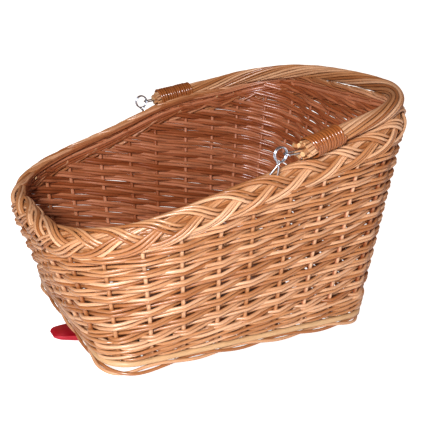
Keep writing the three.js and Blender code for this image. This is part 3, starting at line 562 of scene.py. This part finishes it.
def hand_height(stake, height):
    """How far a row has sagged or risen there, in millimetres."""
    row = (height - WEAVE_FOOT) / HAND_BAND_HEIGHT
    low = np.clip(row.astype(int), 0, HAND_BANDS - 2)
    part = np.clip(row - low, 0, 1)
    at = np.mod(stake, STAKES) * HAND_POINTS_PER_STAKE
    places = np.arange(HAND_POINTS)
    below = np.array([np.interp(a, places, hand[k]) for a, k in zip(at, low)])
    above = np.array([np.interp(a, places, hand[k + 1]) for a, k in zip(at, low)])
    return 0.6 * (below * (1 - part) + above * part)


def weaver_path(step):
    """Rows climbed and swing to the front, at a place counted in stakes from a front pass."""
    front = 2 * np.round(step / 2)
    past = step - front
    rows = front + np.where(past < 0, -np.abs(past) ** 1.4, past)
    swing = 0.55 * np.cos(np.pi * past) + 0.45 * (1 - 2 * np.abs(past))
    return rows, swing


for first in range(STAKES):
    step = (np.arange(WEAVE_STEPS)[:, None] + np.array(STOPS)).ravel()
    rows, swing = weaver_path(step - 1)
    stake = first - 1.0 + step
    height = WEAVE_FOOT + rows * ROW_PITCH + FOOT_SLACK * (1 - np.exp(-rows / SLACK_ROWS))
    taper = np.interp(step, [0, TAPER_STEPS], [WEAVER_BUTT, WEAVER_TIP])
    inside = (height > WEAVE_FOOT - 3.2) & (height < border_underside(stake) + INTO_BORDER)
    runs = np.flatnonzero(np.diff(np.r_[0, inside.astype(int), 0]))
    size = 1 + rng.normal() * 0.03
    for a, b in zip(runs[::2], runs[1::2]):
        if b - a < len(STOPS) // 2:
            continue
        part = slice(a, b)
        n = b - a
        for member in (-1, 1):
            lift = member * (WEAVER_SPREAD / 2 + 0.1 * drift(rng, n, 4)) + 0.25 * drift(rng, n, 8)
            aside = member * 0.7 * (1 - np.abs(swing[part])) + 0.25 * drift(rng, n, 5)
            inward = behind_border(stake[part], height[part])
            inset = STAKE_INSET - WEAVE_SWING * swing[part] * (1 - 0.07 * np.clip(inward, 0, 6)) + aside + inward
            # A pair that starts at the foot comes from inside, so no cut end shows
            inset += START_DIP * np.clip(1 - (step[part] - step[a]) / START_RUN, 0, 1) * (step[a] < 4)
            z = height[part] + lift + hand_height(stake[part], height[part])
            seen = seen_inside(stake[part])
            z += swing[part] * (FAR_BEAT * seen + NEAR_BEAT * (1 - seen))
            lines.append(on_wall(stake_place(stake[part]), z, inset))
            thick = taper[part] * size * (1 + 0.04 * rng.normal())
            thicknesses.append(thick * (1 + FAR_BUTT * seen))
# Every weaving rod gets painted shade on its inner sides
kept = [1.0] * len(lines)
side_weave = worked_rods("side_weave_rods", lines, thicknesses, buff_willow, cut_willow, seed=5, kept=kept)
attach(side_weave, "basket")
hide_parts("side_weave")


# --------------------------------------------------
# Waling: three rods worked together round the foot of the wall, each in front of two stakes and
# behind the third, in three rounds. It holds the stakes upright on the hoop.
WALING_FOOT, WALING_TOP = 40.2, 60.5
WALING_THICKNESS = 3.6
WALING_RODS, WALING_ROUNDS, WALING_STEPS = 3, 3, 6

lines, thicknesses = [], []
rng = np.random.default_rng(31)
count = STAKES * WALING_ROUNDS * WALING_STEPS + 1
stake = np.linspace(0, STAKES * WALING_ROUNDS, count)
for rod in range(WALING_RODS):
    phase = 2 * np.pi * (stake - rod) / WALING_RODS
    inset = STAKE_INSET - 4.1 * np.tanh(2.4 * (np.cos(phase) + 0.35)) / 0.98
    height = WALING_FOOT + (WALING_TOP - WALING_FOOT) * stake / (STAKES * WALING_ROUNDS) + 2.9 * np.sin(phase)
    height += 0.4 * drift(rng, count, 9)
    for a in range(0, count - 1, STAKES * WALING_STEPS):
        part = slice(a, min(a + STAKES * WALING_STEPS + 1, count))
        lines.append(on_wall(stake_place(stake[part]), height[part], inset[part]))
        thicknesses.append(WALING_THICKNESS * (1 + 0.05 * rng.normal()))
waling = worked_rods("base_waling_rods", lines, thicknesses, buff_willow, cut_willow, seed=8)
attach(waling, "basket")
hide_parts("base_waling")


# --------------------------------------------------
# Base hoop and foot: a thick pale rod bent round the bottom, and below it two thin rods twisted
# round each other. They have come a little loose at the low near corner, and hang away there.
HOOP_HEIGHT, HOOP_THICKNESS = 35.2, 6.8
HOOP_LIGHT, HOOP_MID, HOOP_DARK, HOOP_STREAK = 0xDDBC90, 0xCBA173, 0xB5875B, 0x8E6238
FOOT_THICKNESS, FOOT_HEIGHT, FOOT_TWISTS = 3.8, 28.1, 11
SLACK_PLACE, SLACK_WIDTH = 0.533, 0.033


pale_rod = willow_material("white_willow_skin", HOOP_DARK, HOOP_MID, HOOP_LIGHT, HOOP_STREAK, roughness=0.5)
share = np.linspace(0, 1, 181)
rng = np.random.default_rng(37)
hoop_line = on_plan(base_plan, share + 0.1, HOOP_THICKNESS / 2, HOOP_HEIGHT)
hoop = worked_rods(
    "base_hoop_rod", [hoop_line], [HOOP_THICKNESS], pale_rod, cut_willow, sides=14, seed=9, unevenness=0.06
)
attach(hoop, "basket")
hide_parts("base_hoop")

lines, thicknesses = [], []
for rod in range(2):
    share = np.linspace(0, 1, 401)
    angle = 2 * np.pi * (FOOT_TWISTS * share + rod / 2)
    slack = np.exp(-(((share - SLACK_PLACE) / SLACK_WIDTH) ** 2))
    inset = HOOP_THICKNESS / 2 + 2.1 * np.cos(angle)
    height = FOOT_HEIGHT + 2.4 * np.sin(angle) - slack * (3.2 + 1.4 * rod)
    lines.append(on_plan(base_plan, share, inset, height))
    thicknesses.append(FOOT_THICKNESS * (1 + 0.04 * rng.normal()))
foot = worked_rods("foot_rods", lines, thicknesses, buff_willow, cut_willow, seed=12)
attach(foot, "basket")
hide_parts("foot_rod_1", "foot_rod_2")


# --------------------------------------------------
# Border: the stakes' ends and the rods beside them, plaited flat in six strands as they are bent
# down one after another. Each strand is a flat bundle of three rods. It lies along the lower edge,
# crosses up over two strands, goes under three to the inner edge and comes back level over three.
BUNDLE_RODS = 3
BORDER_ROD = 3.9
BORDER_LEVEL = 16.5
CORE_DEPTH, CORE_THICKNESS = 8.4, 4.6
INNER_REACH, INNER_DEGREES, INNER_SPACING = 4.6, 136, 17
PLAIT_HALF_WIDTH = 10.4
PLAIT_HALF_HEIGHT, PLAIT_LOW_HALF = 14, 17
PLAIT_INNER_THIN, PLAIT_INNER_LIFT = 0.47, 5
PLAIT_PERIOD = 6
PLAIT_MIDDLE = math.radians(30)
PLAIT_SWEEP = 19.5
PLAIT_SQUARENESS = 0.08
PLAIT_DEPTH = 2.4
PLAIT_ROUND = 12.2
PLAIT_OVER = [(-0.9, -4), (0, 0), (0.3, 1), (1.12, 1), (1.4, -1), (2.75, -1), (3.1, 1), (4.6, 1), (4.9, -1), (6, -1.6)]


def on_border(stake, turn, depth):
    """Points round the border's section: turn 0 is its outer side, a quarter turn up is its top."""
    share = (np.asarray(stake) + STAKE_SHIFT) / STAKES
    inner = np.clip((-np.cos(turn) - 0.45) / 0.55, 0, 1)
    half_width = (PLAIT_HALF_WIDTH - depth) * (1 - PLAIT_INNER_THIN * inner)
    half_height = np.where(np.sin(turn) < 0, PLAIT_LOW_HALF, PLAIT_HALF_HEIGHT) - depth
    half_height *= np.where(np.sin(turn) < 0, np.clip((np.cos(turn) + 0.35) / 0.5, 0.15, 1), 1)
    inset = BORDER_THICKNESS / 2 - half_width * np.cos(turn)
    height = rim_height(rim_plan(share)) - BORDER_LEVEL + half_height * np.sin(turn) + PLAIT_INNER_LIFT * inner
    return on_plan(rim_plan, share, inset, height)


def border_kept(turn):
    """How much painted shade a rod gets: none outside and on top, all on the inner side."""
    return np.clip(0.45 - 0.6 * np.cos(turn - math.radians(35)), 0, 1)


lines, thicknesses, kept = [], [], []
rng = np.random.default_rng(41)
for first in range(STAKES):
    wander = 0.06 * rng.normal()
    for rod in range(BUNDLE_RODS):
        count = 72
        after = np.linspace(-0.9, PLAIT_PERIOD - 0.4 + 0.2 * rng.uniform(-1, 1), count)
        angle = 2 * np.pi * np.clip(after, 0, None) / PLAIT_PERIOD
        coming = np.clip(-after, 0, 2)
        sideways = -PLAIT_SWEEP * (np.cos(angle) - PLAIT_SQUARENESS * np.cos(3 * angle)) - 4 * coming**1.5
        over = np.interp(after, *zip(*PLAIT_OVER))
        over = np.convolve(np.pad(over, 2, mode="edge"), np.ones(5) / 5, mode="valid")
        slope = np.gradient(sideways, after * STAKE_PITCH)
        steep = np.hypot(1, slope)
        place_in_bundle = (rod - (BUNDLE_RODS - 1) / 2) * BORDER_ROD + 0.3 * drift(rng, count, 14)
        stake = stake_place(first) + wander + after - place_in_bundle * slope / steep / STAKE_PITCH
        turn = PLAIT_MIDDLE + (sideways + place_in_bundle / steep) / PLAIT_ROUND
        depth = PLAIT_DEPTH * (1 - over) + 0.25 * drift(rng, count, 9)
        depth += 4.0 * np.clip((after - PLAIT_PERIOD + 1.1) / 0.6, 0, 1)
        lines.append(on_border(stake, turn, depth))
        size = np.interp(after, [-1, PLAIT_PERIOD], [BORDER_ROD, BORDER_ROD * 0.9])
        thicknesses.append(size * (1 + 0.05 * rng.normal()))
        kept.append(border_kept(turn))
# A core of rods under the plait
for rod in range(-4, 4):
    turn = 2 * np.pi * rod / 11
    share = np.linspace(0, STAKES, 161)
    lines.append(on_border(share, turn + 0.1 * drift(rng, 161, 12), CORE_DEPTH + 0.4 * drift(rng, 161, 9)))
    thicknesses.append(CORE_THICKNESS)
    kept.append(1.0)
# Pairs of rods along the inner side of the far rim
for first in range(0, 14, 3):
    for rod in range(2):
        after = np.linspace(0, INNER_REACH, 40)
        turn = math.radians(INNER_DEGREES + INNER_SPACING * rod) + 0.25 * np.sin(np.pi * after / INNER_REACH)
        turn += 0.05 * drift(rng, 40, 9)
        depth = 1.2 + 3.4 * np.abs(2 * after / INNER_REACH - 1) ** 3
        lines.append(on_border(first + after + 0.4 * rod, turn, depth))
        thicknesses.append(BORDER_ROD)
        kept.append(border_kept(turn))
border = worked_rods("border_plait_rods", lines, thicknesses, buff_willow, cut_willow, seed=15, kept=kept)
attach(border, "basket")
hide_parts("border_plait")


# --------------------------------------------------
# Base mat: bands of three rods woven across the basket, over and under four sticks that run
# lengthways and end on the hoop.
MAT_LENGTH, MAT_WIDTH, MAT_CORNER = 336.5, 276.5, 34
MAT_LEVEL = 35
MAT_BANDS, BAND_RODS = 34, 3
MAT_ROD = 3.6
MAT_SWING = 4.5
STICK_LINES = [-87, -29, 29, 87]
STICK_THICKNESS = 5.6

lines, thicknesses = [], []
rng = np.random.default_rng(53)
for i in range(MAT_BANDS * BAND_RODS):
    x = MAT_LENGTH * ((i + 0.5) / (MAT_BANDS * BAND_RODS) - 0.5)
    short = max(0, abs(x) - (MAT_LENGTH / 2 - MAT_CORNER))
    half = MAT_WIDTH / 2 - MAT_CORNER + math.sqrt(MAT_CORNER**2 - short**2)
    y = np.linspace(-half, half, 30)
    side = 1 if i // BAND_RODS % 2 else -1
    height = MAT_LEVEL + side * MAT_SWING * np.cos(np.pi * (y - STICK_LINES[0]) / (STICK_LINES[1] - STICK_LINES[0]))
    height += 0.2 * drift(rng, 30, 7)
    lines.append(np.stack([x + BASE_SHIFT + 0.2 * drift(rng, 30, 9), y, height], -1))
    thicknesses.append(MAT_ROD * (1 + 0.05 * rng.normal()))
mat = worked_rods("base_mat_rods", lines, thicknesses, buff_willow, cut_willow, sides=7, seed=21)
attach(mat, "basket")
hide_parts("base_mat")

lines = []
for y in STICK_LINES:
    reach = MAT_LENGTH / 2 - (4 if abs(y) > 50 else 0)
    x = np.linspace(-reach, reach, 24) + BASE_SHIFT
    lines.append(np.stack([x, np.full(24, y), np.full(24, MAT_LEVEL)], -1))
sticks = worked_rods("base_sticks", lines, [STICK_THICKNESS] * 4, pale_rod, cut_willow, sides=12, seed=22)
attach(sticks, "basket")
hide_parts(*[f"base_stick_{i}" for i in range(1, 5)])


# --------------------------------------------------
# Handle: twelve rods roped round a thicker core and bent into a bow. The cut ends show at the
# bindings, where some of the rods stand away.
PIVOT = np.array([1.0, 0.0, 257.0])
HANDLE_SKEW = math.radians(2.7)
HANDLE_POINTS = [
    (24, -169, 1.2), (36, -169, 3.6), (64, -169, 12), (99, -167, 21), (140, -160, 29.6),
    (177, -143, 39), (201, -111, 46), (214, -65, 48), (218, -15, 48.4), (216, 40, 47.6),
    (206, 83, 45), (183, 121, 39), (150, 148, 30), (109, 162, 18.8), (69, 168, 11),
    (36, 169, 5), (24, 169, 2.5),
]
HANDLE_LAY = 260
FAR_END = 8
HANDLE_RODS = 12
HANDLE_ROD = 3.75
HANDLE_RING = 7.7
CORE_RODS = 5
CORE_ROD = 5.2
CORE_RING = 3.5
SPLAY_REACH = 16


def to_basket(points):
    """Points of the handle's own frame, moved to the pivot line and turned askew."""
    c, s = math.cos(HANDLE_SKEW), math.sin(HANDLE_SKEW)
    x, y, z = np.moveaxis(np.asarray(points, float), -1, 0)
    return np.stack([c * x - s * y, s * x + c * y, z], -1) + PIVOT


def smooth_line(knots, count):
    """A smooth line through the knots, at even steps: its points and its length."""
    knots = np.asarray(knots, float)
    padded = np.vstack([2 * knots[0] - knots[1], knots, 2 * knots[-1] - knots[-2]])
    points = []
    for a, b, c, d in zip(padded, padded[1:], padded[2:], padded[3:]):
        for t in np.linspace(0, 1, 30, endpoint=False):
            points.append(
                0.5 * (2 * b + (c - a) * t + (2 * a - 5 * b + 4 * c - d) * t**2 + (3 * b - a - 3 * c + d) * t**3)
            )
    points = np.array(points + [knots[-1]])
    along = lengths_along(points)
    return between(np.linspace(0, along[-1], count), along, points), along[-1]


handle_centres, handle_length = smooth_line(HANDLE_POINTS, 400)
handle_steps = np.linspace(0, handle_length, 400)
handle_ways = np.gradient(handle_centres, handle_steps, axis=0)


def on_handle(distance, angle, radius):
    """Points round the handle's centre line, at a distance from its near end, angle and radius."""
    distance, angle, radius = np.broadcast_arrays(*(np.asarray(v, float) for v in (distance, angle, radius)))
    way = unit(between(distance, handle_steps, handle_ways))
    centre = between(distance, handle_steps, handle_centres)
    centre += way * (distance - np.clip(distance, 0, handle_length))[..., None]
    level = unit(np.cross(way, (0, 0, 1)))
    rise = np.cross(level, way)
    around = np.cos(angle)[..., None] * level + np.sin(angle)[..., None] * rise
    return centre + around * radius[..., None]


lines, thicknesses = [], []
rng = np.random.default_rng(67)
for ring, count, thickness in ((HANDLE_RING, HANDLE_RODS, HANDLE_ROD), (CORE_RING, CORE_RODS, CORE_ROD)):
    for rod in range(count):
        core = ring == CORE_RING
        start = rng.uniform(-4, 0) if core else rng.uniform(2, 9)
        stop = handle_length + FAR_END - (rng.uniform(1, 6) if core else rng.uniform(4, 10))
        distance = np.linspace(start, stop, 110)
        spread = rng.uniform(0, 4.5 if core else 1.5)
        to_far_end = handle_length + FAR_END - distance
        splay = np.clip((SPLAY_REACH - distance) / SPLAY_REACH, 0, 1.3) ** 2
        splay += 0.4 * np.clip((SPLAY_REACH - to_far_end) / SPLAY_REACH, 0, 1.3) ** 2
        radius = ring + spread * splay + 0.12 * drift(rng, 110, 6)
        angle = 2 * np.pi * (rod / count + distance / HANDLE_LAY) + 0.03 * drift(rng, 110, 9)
        lines.append(to_basket(on_handle(distance, angle, radius)))
        thicknesses.append(thickness * (1 + 0.07 * rng.normal()))
handle_rods = worked_rods(
    "handle_rods", lines, thicknesses, buff_willow, cut_willow, sides=9, seed=25, unevenness=0.12
)
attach(handle_rods, "handle")
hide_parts("handle_rope")


# --------------------------------------------------
# Bindings: glossy split cane wound tightly round each end of the handle, rounded outside and flat
# inside. The first turns lie slanted, where the strip was started.
BINDING_START = 12
BINDING_LENGTHS = (41, 50)
BINDING_TURNS = (11, 14)
BINDING_RADIUS = 10.6
CANE_HALF_WIDTH = 1.85
CANE_THICKNESS = 1.7
# The strip's section, in half widths across and thicknesses outwards
CANE_SECTION = [
    (-1, 0), (-0.86, 0.55), (-0.45, 0.9), (0, 1), (0.45, 0.9), (0.86, 0.55), (1, 0), (0.6, -0.12), (-0.6, -0.12),
]
BINDING_STEPS = 26
CANE_DARK, CANE_MID, CANE_LIGHT, CANE_STREAK = 0x7A3D18, 0x99582A, 0xB87A44, 0x5E2C10


def wound_strip(name, points, centres, half_width, thickness, material):
    """A half-round strip laid along points, with its flat side towards the centres."""
    way = unit(np.gradient(points, axis=0))
    out = points - centres
    out = unit(out - way * (out * way).sum(1, keepdims=True))
    across = np.cross(way, out)
    rings = [points + across * (half_width * a) + out * (thickness * b) for a, b in CANE_SECTION]
    sides, count = len(CANE_SECTION), len(points)
    vertices = np.stack(rings, 1).reshape(-1, 3)
    faces = [
        (i * sides + j, i * sides + (j + 1) % sides, (i + 1) * sides + (j + 1) % sides, (i + 1) * sides + j)
        for i in range(count - 1)
        for j in range(sides)
    ]
    faces += [tuple(range(sides))[::-1], tuple(range((count - 1) * sides, count * sides))]
    strip = plain_mesh(name, vertices, faces, material)
    along = lengths_along(points) * MM
    around = np.tile(np.arange(sides) / sides, count)
    tone = np.full(sides * count, 0.5)
    keep_values(strip.data, along=np.repeat(along, sides), around=around, tone=tone, kept=0 * tone)
    shape = bmesh.new()
    shape.from_mesh(strip.data)
    bmesh.ops.recalc_face_normals(shape, faces=shape.faces)
    shape.to_mesh(strip.data)
    shape.free()
    return strip


split_cane = willow_material("split_cane_glossy", CANE_DARK, CANE_MID, CANE_LIGHT, CANE_STREAK, roughness=0.22)
for end, name in enumerate(("near", "far")):
    rng = np.random.default_rng(71 + end)
    turns = np.linspace(0, BINDING_TURNS[end], BINDING_TURNS[end] * BINDING_STEPS + 1)
    slant = 0.8 + (3.2, 1.2)[end] * np.exp(-turns / 2.2)
    distance = BINDING_START + BINDING_LENGTHS[end] * turns / BINDING_TURNS[end]
    distance += slant * np.sin(2 * np.pi * turns + 2.2)
    distance += 0.25 * drift(rng, len(turns), 15)
    if end:
        distance = handle_length + FAR_END - distance
    angle = 2 * np.pi * turns
    radius = BINDING_RADIUS + 0.25 * drift(rng, len(turns), 20) + 0.8 * np.exp(-turns / 1.5)
    radius -= 1.5 * np.clip(turns - BINDING_TURNS[end] + 0.5, 0, 1)
    points = to_basket(on_handle(distance, angle, radius))
    centres = to_basket(on_handle(distance, angle, 0))
    strip = wound_strip(f"cane_binding_{name}", points, centres, CANE_HALF_WIDTH, CANE_THICKNESS, split_cane)
    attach(strip, "handle")
    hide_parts(f"handle_binding_{name}")


# --------------------------------------------------
# Wire fittings: 1.8 mm bright wire. A staple in each handle end makes an eye, and a loop coiled one
# turn and two thirds stands on the border, its crossed legs pushed down between the rods.
WIRE = 1.8
PIVOT_HALF_SPAN = 169
LOOP_RADIUS = 8
LOOP_PITCH = 2.35
LOOP_DROP = 13
LOOP_LEAN = 3
LOOP_LEG_DEPTH, LOOP_LEG_LEAN = 13, 6
EYE_HALF_WIDTH, EYE_REACH, EYE_DEPTH = 4.3, 3, 14
WIRE_BRIGHT, WIRE_DULL = 0xE8EAEE, 0xB4B7BD


def metal_material(name, bright, dull, mottle, roughness):
    """A metal with slightly uneven finish: mottle is the size of its patches in millimetres."""
    material, tree, shader = new_material(name)
    place = add_node(tree, "ShaderNodeTexCoord").outputs["Object"]
    part = ranged(tree, noise(tree, place, 1000 / mottle, 3.0), 0.35, 0.65)
    tree.links.new(tinted(tree, part, linear(bright), linear(dull)), shader.inputs["Base Color"])
    rough = ranged(tree, part, 0.0, 1.0, roughness - 0.06, roughness + 0.1)
    tree.links.new(rough, shader.inputs["Roughness"])
    shader.inputs["Metallic"].default_value = 1.0
    return material


bright_wire = metal_material("drawn_steel_wire", WIRE_BRIGHT, WIRE_DULL, 3.0, 0.3)


def wire(name, body, node, points):
    """A bent wire through points of the handle's own frame, riding on a body."""
    piece = worked_rods(name, [to_basket(points)], [WIRE], bright_wire, bright_wire, sides=12, unevenness=0.0)
    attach(piece, body)
    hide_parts(node)


for end, name in enumerate(("near", "far")):
    side = 1 if end else -1
    bend_x = LOOP_RADIUS - EYE_REACH + EYE_HALF_WIDTH
    into = (handle_length - np.array([-1, 4, 9, EYE_DEPTH])) if end else np.array([-1, 4, 9, EYE_DEPTH])
    shank = on_handle(into, 0, 0)
    angle = -np.pi / 2 - np.linspace(0, np.pi, 17)
    bend = np.stack(
        [
            bend_x + EYE_HALF_WIDTH * np.cos(angle),
            side * PIVOT_HALF_SPAN + EYE_HALF_WIDTH * np.sin(angle),
            np.zeros(17),
        ],
        -1,
    )
    apart = np.array([0, EYE_HALF_WIDTH, 0])
    wire(f"wire_eye_{name}", "handle", f"handle_eye_{name}", np.vstack([shank[::-1] - apart, bend, shank + apart]))

    lean = side * LOOP_LEAN
    towards = math.atan2(-LOOP_DROP, lean)
    half = math.acos(LOOP_RADIUS / math.hypot(lean, LOOP_DROP))
    leave, enter = towards + half, towards - half + 2 * math.pi
    sweep = enter - leave + 2 * math.pi
    width = LOOP_PITCH * sweep / (2 * math.pi)
    turn = np.linspace(0, 1, 60)
    coil = np.stack(
        [
            LOOP_RADIUS * np.cos(enter - sweep * turn),
            side * PIVOT_HALF_SPAN + width * (turn - 0.5),
            LOOP_RADIUS * np.sin(enter - sweep * turn),
        ],
        -1,
    )
    legs = []
    for coil_end, across in ((coil[0], -width / 2), (coil[-1], width / 2)):
        crossing = np.array([lean, side * PIVOT_HALF_SPAN + across, -LOOP_DROP])
        way = crossing - coil_end
        way /= np.linalg.norm(way)
        foot = crossing + LOOP_LEG_DEPTH * np.array([0.45 * way[0] / abs(way[2]), 0, -1]) - (0, side * LOOP_LEG_LEAN, 0)
        legs.append([foot, crossing])
    wire(f"wire_loop_{name}", "basket", f"rim_loop_{name}", np.vstack([legs[0], coil, legs[1][::-1]]))


# --------------------------------------------------
# Carrier adapter: a black nylon moulding under the base that hooks on the carrier's cross rails,
# with a sliding latch in it. Injection moulded, with eased edges and a finely eroded surface.
NYLON_BLACK, NYLON_SCUFFED = 0x17181A, 0x2B2C2F
SCUFF_SIZE = 18


def moulded_material(name, colour, scuffed, roughness, grain):
    """Moulded plastic: eroded grain of a size in millimetres, and slightly paler scuffed patches."""
    material, tree, shader = new_material(name)
    place = add_node(tree, "ShaderNodeTexCoord").outputs["Object"]
    part = ranged(tree, noise(tree, place, 1000 / SCUFF_SIZE, 4.0), 0.45, 0.8)
    tree.links.new(tinted(tree, part, linear(colour), linear(scuffed)), shader.inputs["Base Color"])
    rough = ranged(tree, part, 0.0, 1.0, roughness, roughness + 0.15)
    tree.links.new(rough, shader.inputs["Roughness"])
    fine = noise(tree, place, 1000 / grain, 2.0)
    bump = add_node(tree, "ShaderNodeBump", {"Height": fine, "Strength": 0.2, "Distance": 0.0002}).outputs[0]
    tree.links.new(bump, shader.inputs["Normal"])
    shader.inputs["IOR"].default_value = 1.53
    return material


def eased_copy(node, body, radius, material):
    """A copy of a CAD node with whole flat faces and rounded edges, riding on its body."""
    piece = new_object(node + "_eased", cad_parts[node].data.copy())
    shape = bmesh.new()
    shape.from_mesh(piece.data)
    bmesh.ops.remove_doubles(shape, verts=shape.verts, dist=1e-6)
    bmesh.ops.dissolve_limit(shape, angle_limit=math.radians(1), verts=shape.verts, edges=shape.edges)
    shape.to_mesh(piece.data)
    shape.free()
    piece.data.materials.clear()
    piece.data.materials.append(material)
    piece.data.shade_smooth()
    bevel = piece.modifiers.new("eased_edges", "BEVEL")
    bevel.width = radius * MM
    bevel.segments = 2
    bevel.angle_limit = math.radians(28)
    bevel.harden_normals = True
    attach(piece, body)
    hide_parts(node)
    return piece


black_nylon = moulded_material("moulded_black_nylon", NYLON_BLACK, NYLON_SCUFFED, 0.45, 0.8)
eased_copy("adapter_body", "basket", 0.6, black_nylon)
eased_copy("latch_slide", "latch", 0.4, black_nylon)

# Release tab: glossy red nylon, pulled outwards to free the latch
NYLON_RED, NYLON_RED_SCUFFED = 0xA81424, 0xB93040
red_nylon = moulded_material("moulded_red_nylon", NYLON_RED, NYLON_RED_SCUFFED, 0.3, 1.0)
release_tab = eased_copy("release_tab", "latch", 1.2, red_nylon)
# Its grip narrows towards the tip
TAB_NARROWING, TAB_TAPER = 0.5, 0.35
corners = np.array([v.co for v in release_tab.data.vertices])
root, tip, middle = corners[:, 0].max(), corners[:, 0].min(), (corners.max(0) + corners.min(0)) / 2
for vertex in release_tab.data.vertices:
    out = (root - vertex.co.x) / (root - tip)
    vertex.co.y = middle[1] + (vertex.co.y - middle[1]) * (1 - TAB_TAPER * out)
    vertex.co.z = middle[2] + (vertex.co.z - middle[2]) * (1 - TAB_NARROWING * out)


# --------------------------------------------------
# Latch spring: 1.4 mm spring steel wire, seven turns. Pulling the latch open squeezes it, but here it is a fixed coil
# on the basket.
SPRING_START, SPRING_RUN = -127, 29.6
SPRING_HEIGHT, SPRING_MEAN, SPRING_WIRE, SPRING_TURNS = 13, 4.8, 1.4, 7
SPRING_STEPS = 20
SPRING_BRIGHT, SPRING_DULL = 0xA7AAB0, 0x74777D

spring_steel = metal_material("drawn_spring_steel", SPRING_BRIGHT, SPRING_DULL, 2.0, 0.3)
share = np.linspace(0, 1, SPRING_TURNS * SPRING_STEPS + 1)
angle = 2 * np.pi * SPRING_TURNS * share
spring_line = np.stack(
    [
        SPRING_START + SPRING_RUN * share,
        SPRING_MEAN * np.cos(angle),
        SPRING_HEIGHT + SPRING_MEAN * np.sin(angle),
    ],
    -1,
)
spring = worked_rods("latch_spring_coil", [spring_line], [SPRING_WIRE], spring_steel, spring_steel, unevenness=0.0)
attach(spring, "basket")
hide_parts("latch_spring")
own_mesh(spring)


# --------------------------------------------------
# Clamp plate and screws: zinc-plated steel, stamped with rounded edges. The screws draw the adapter
# up against the woven base.
ZINC_BRIGHT, ZINC_DULL = 0xC3C7CA, 0x8D9296

zinc_steel = metal_material("zinc_plated_steel", ZINC_BRIGHT, ZINC_DULL, 7.0, 0.35)
eased_copy("clamp_plate", "basket", 0.5, zinc_steel)
for i in range(1, 5):
    eased_copy(f"clamp_screw_{i}", "basket", 0.3, zinc_steel)
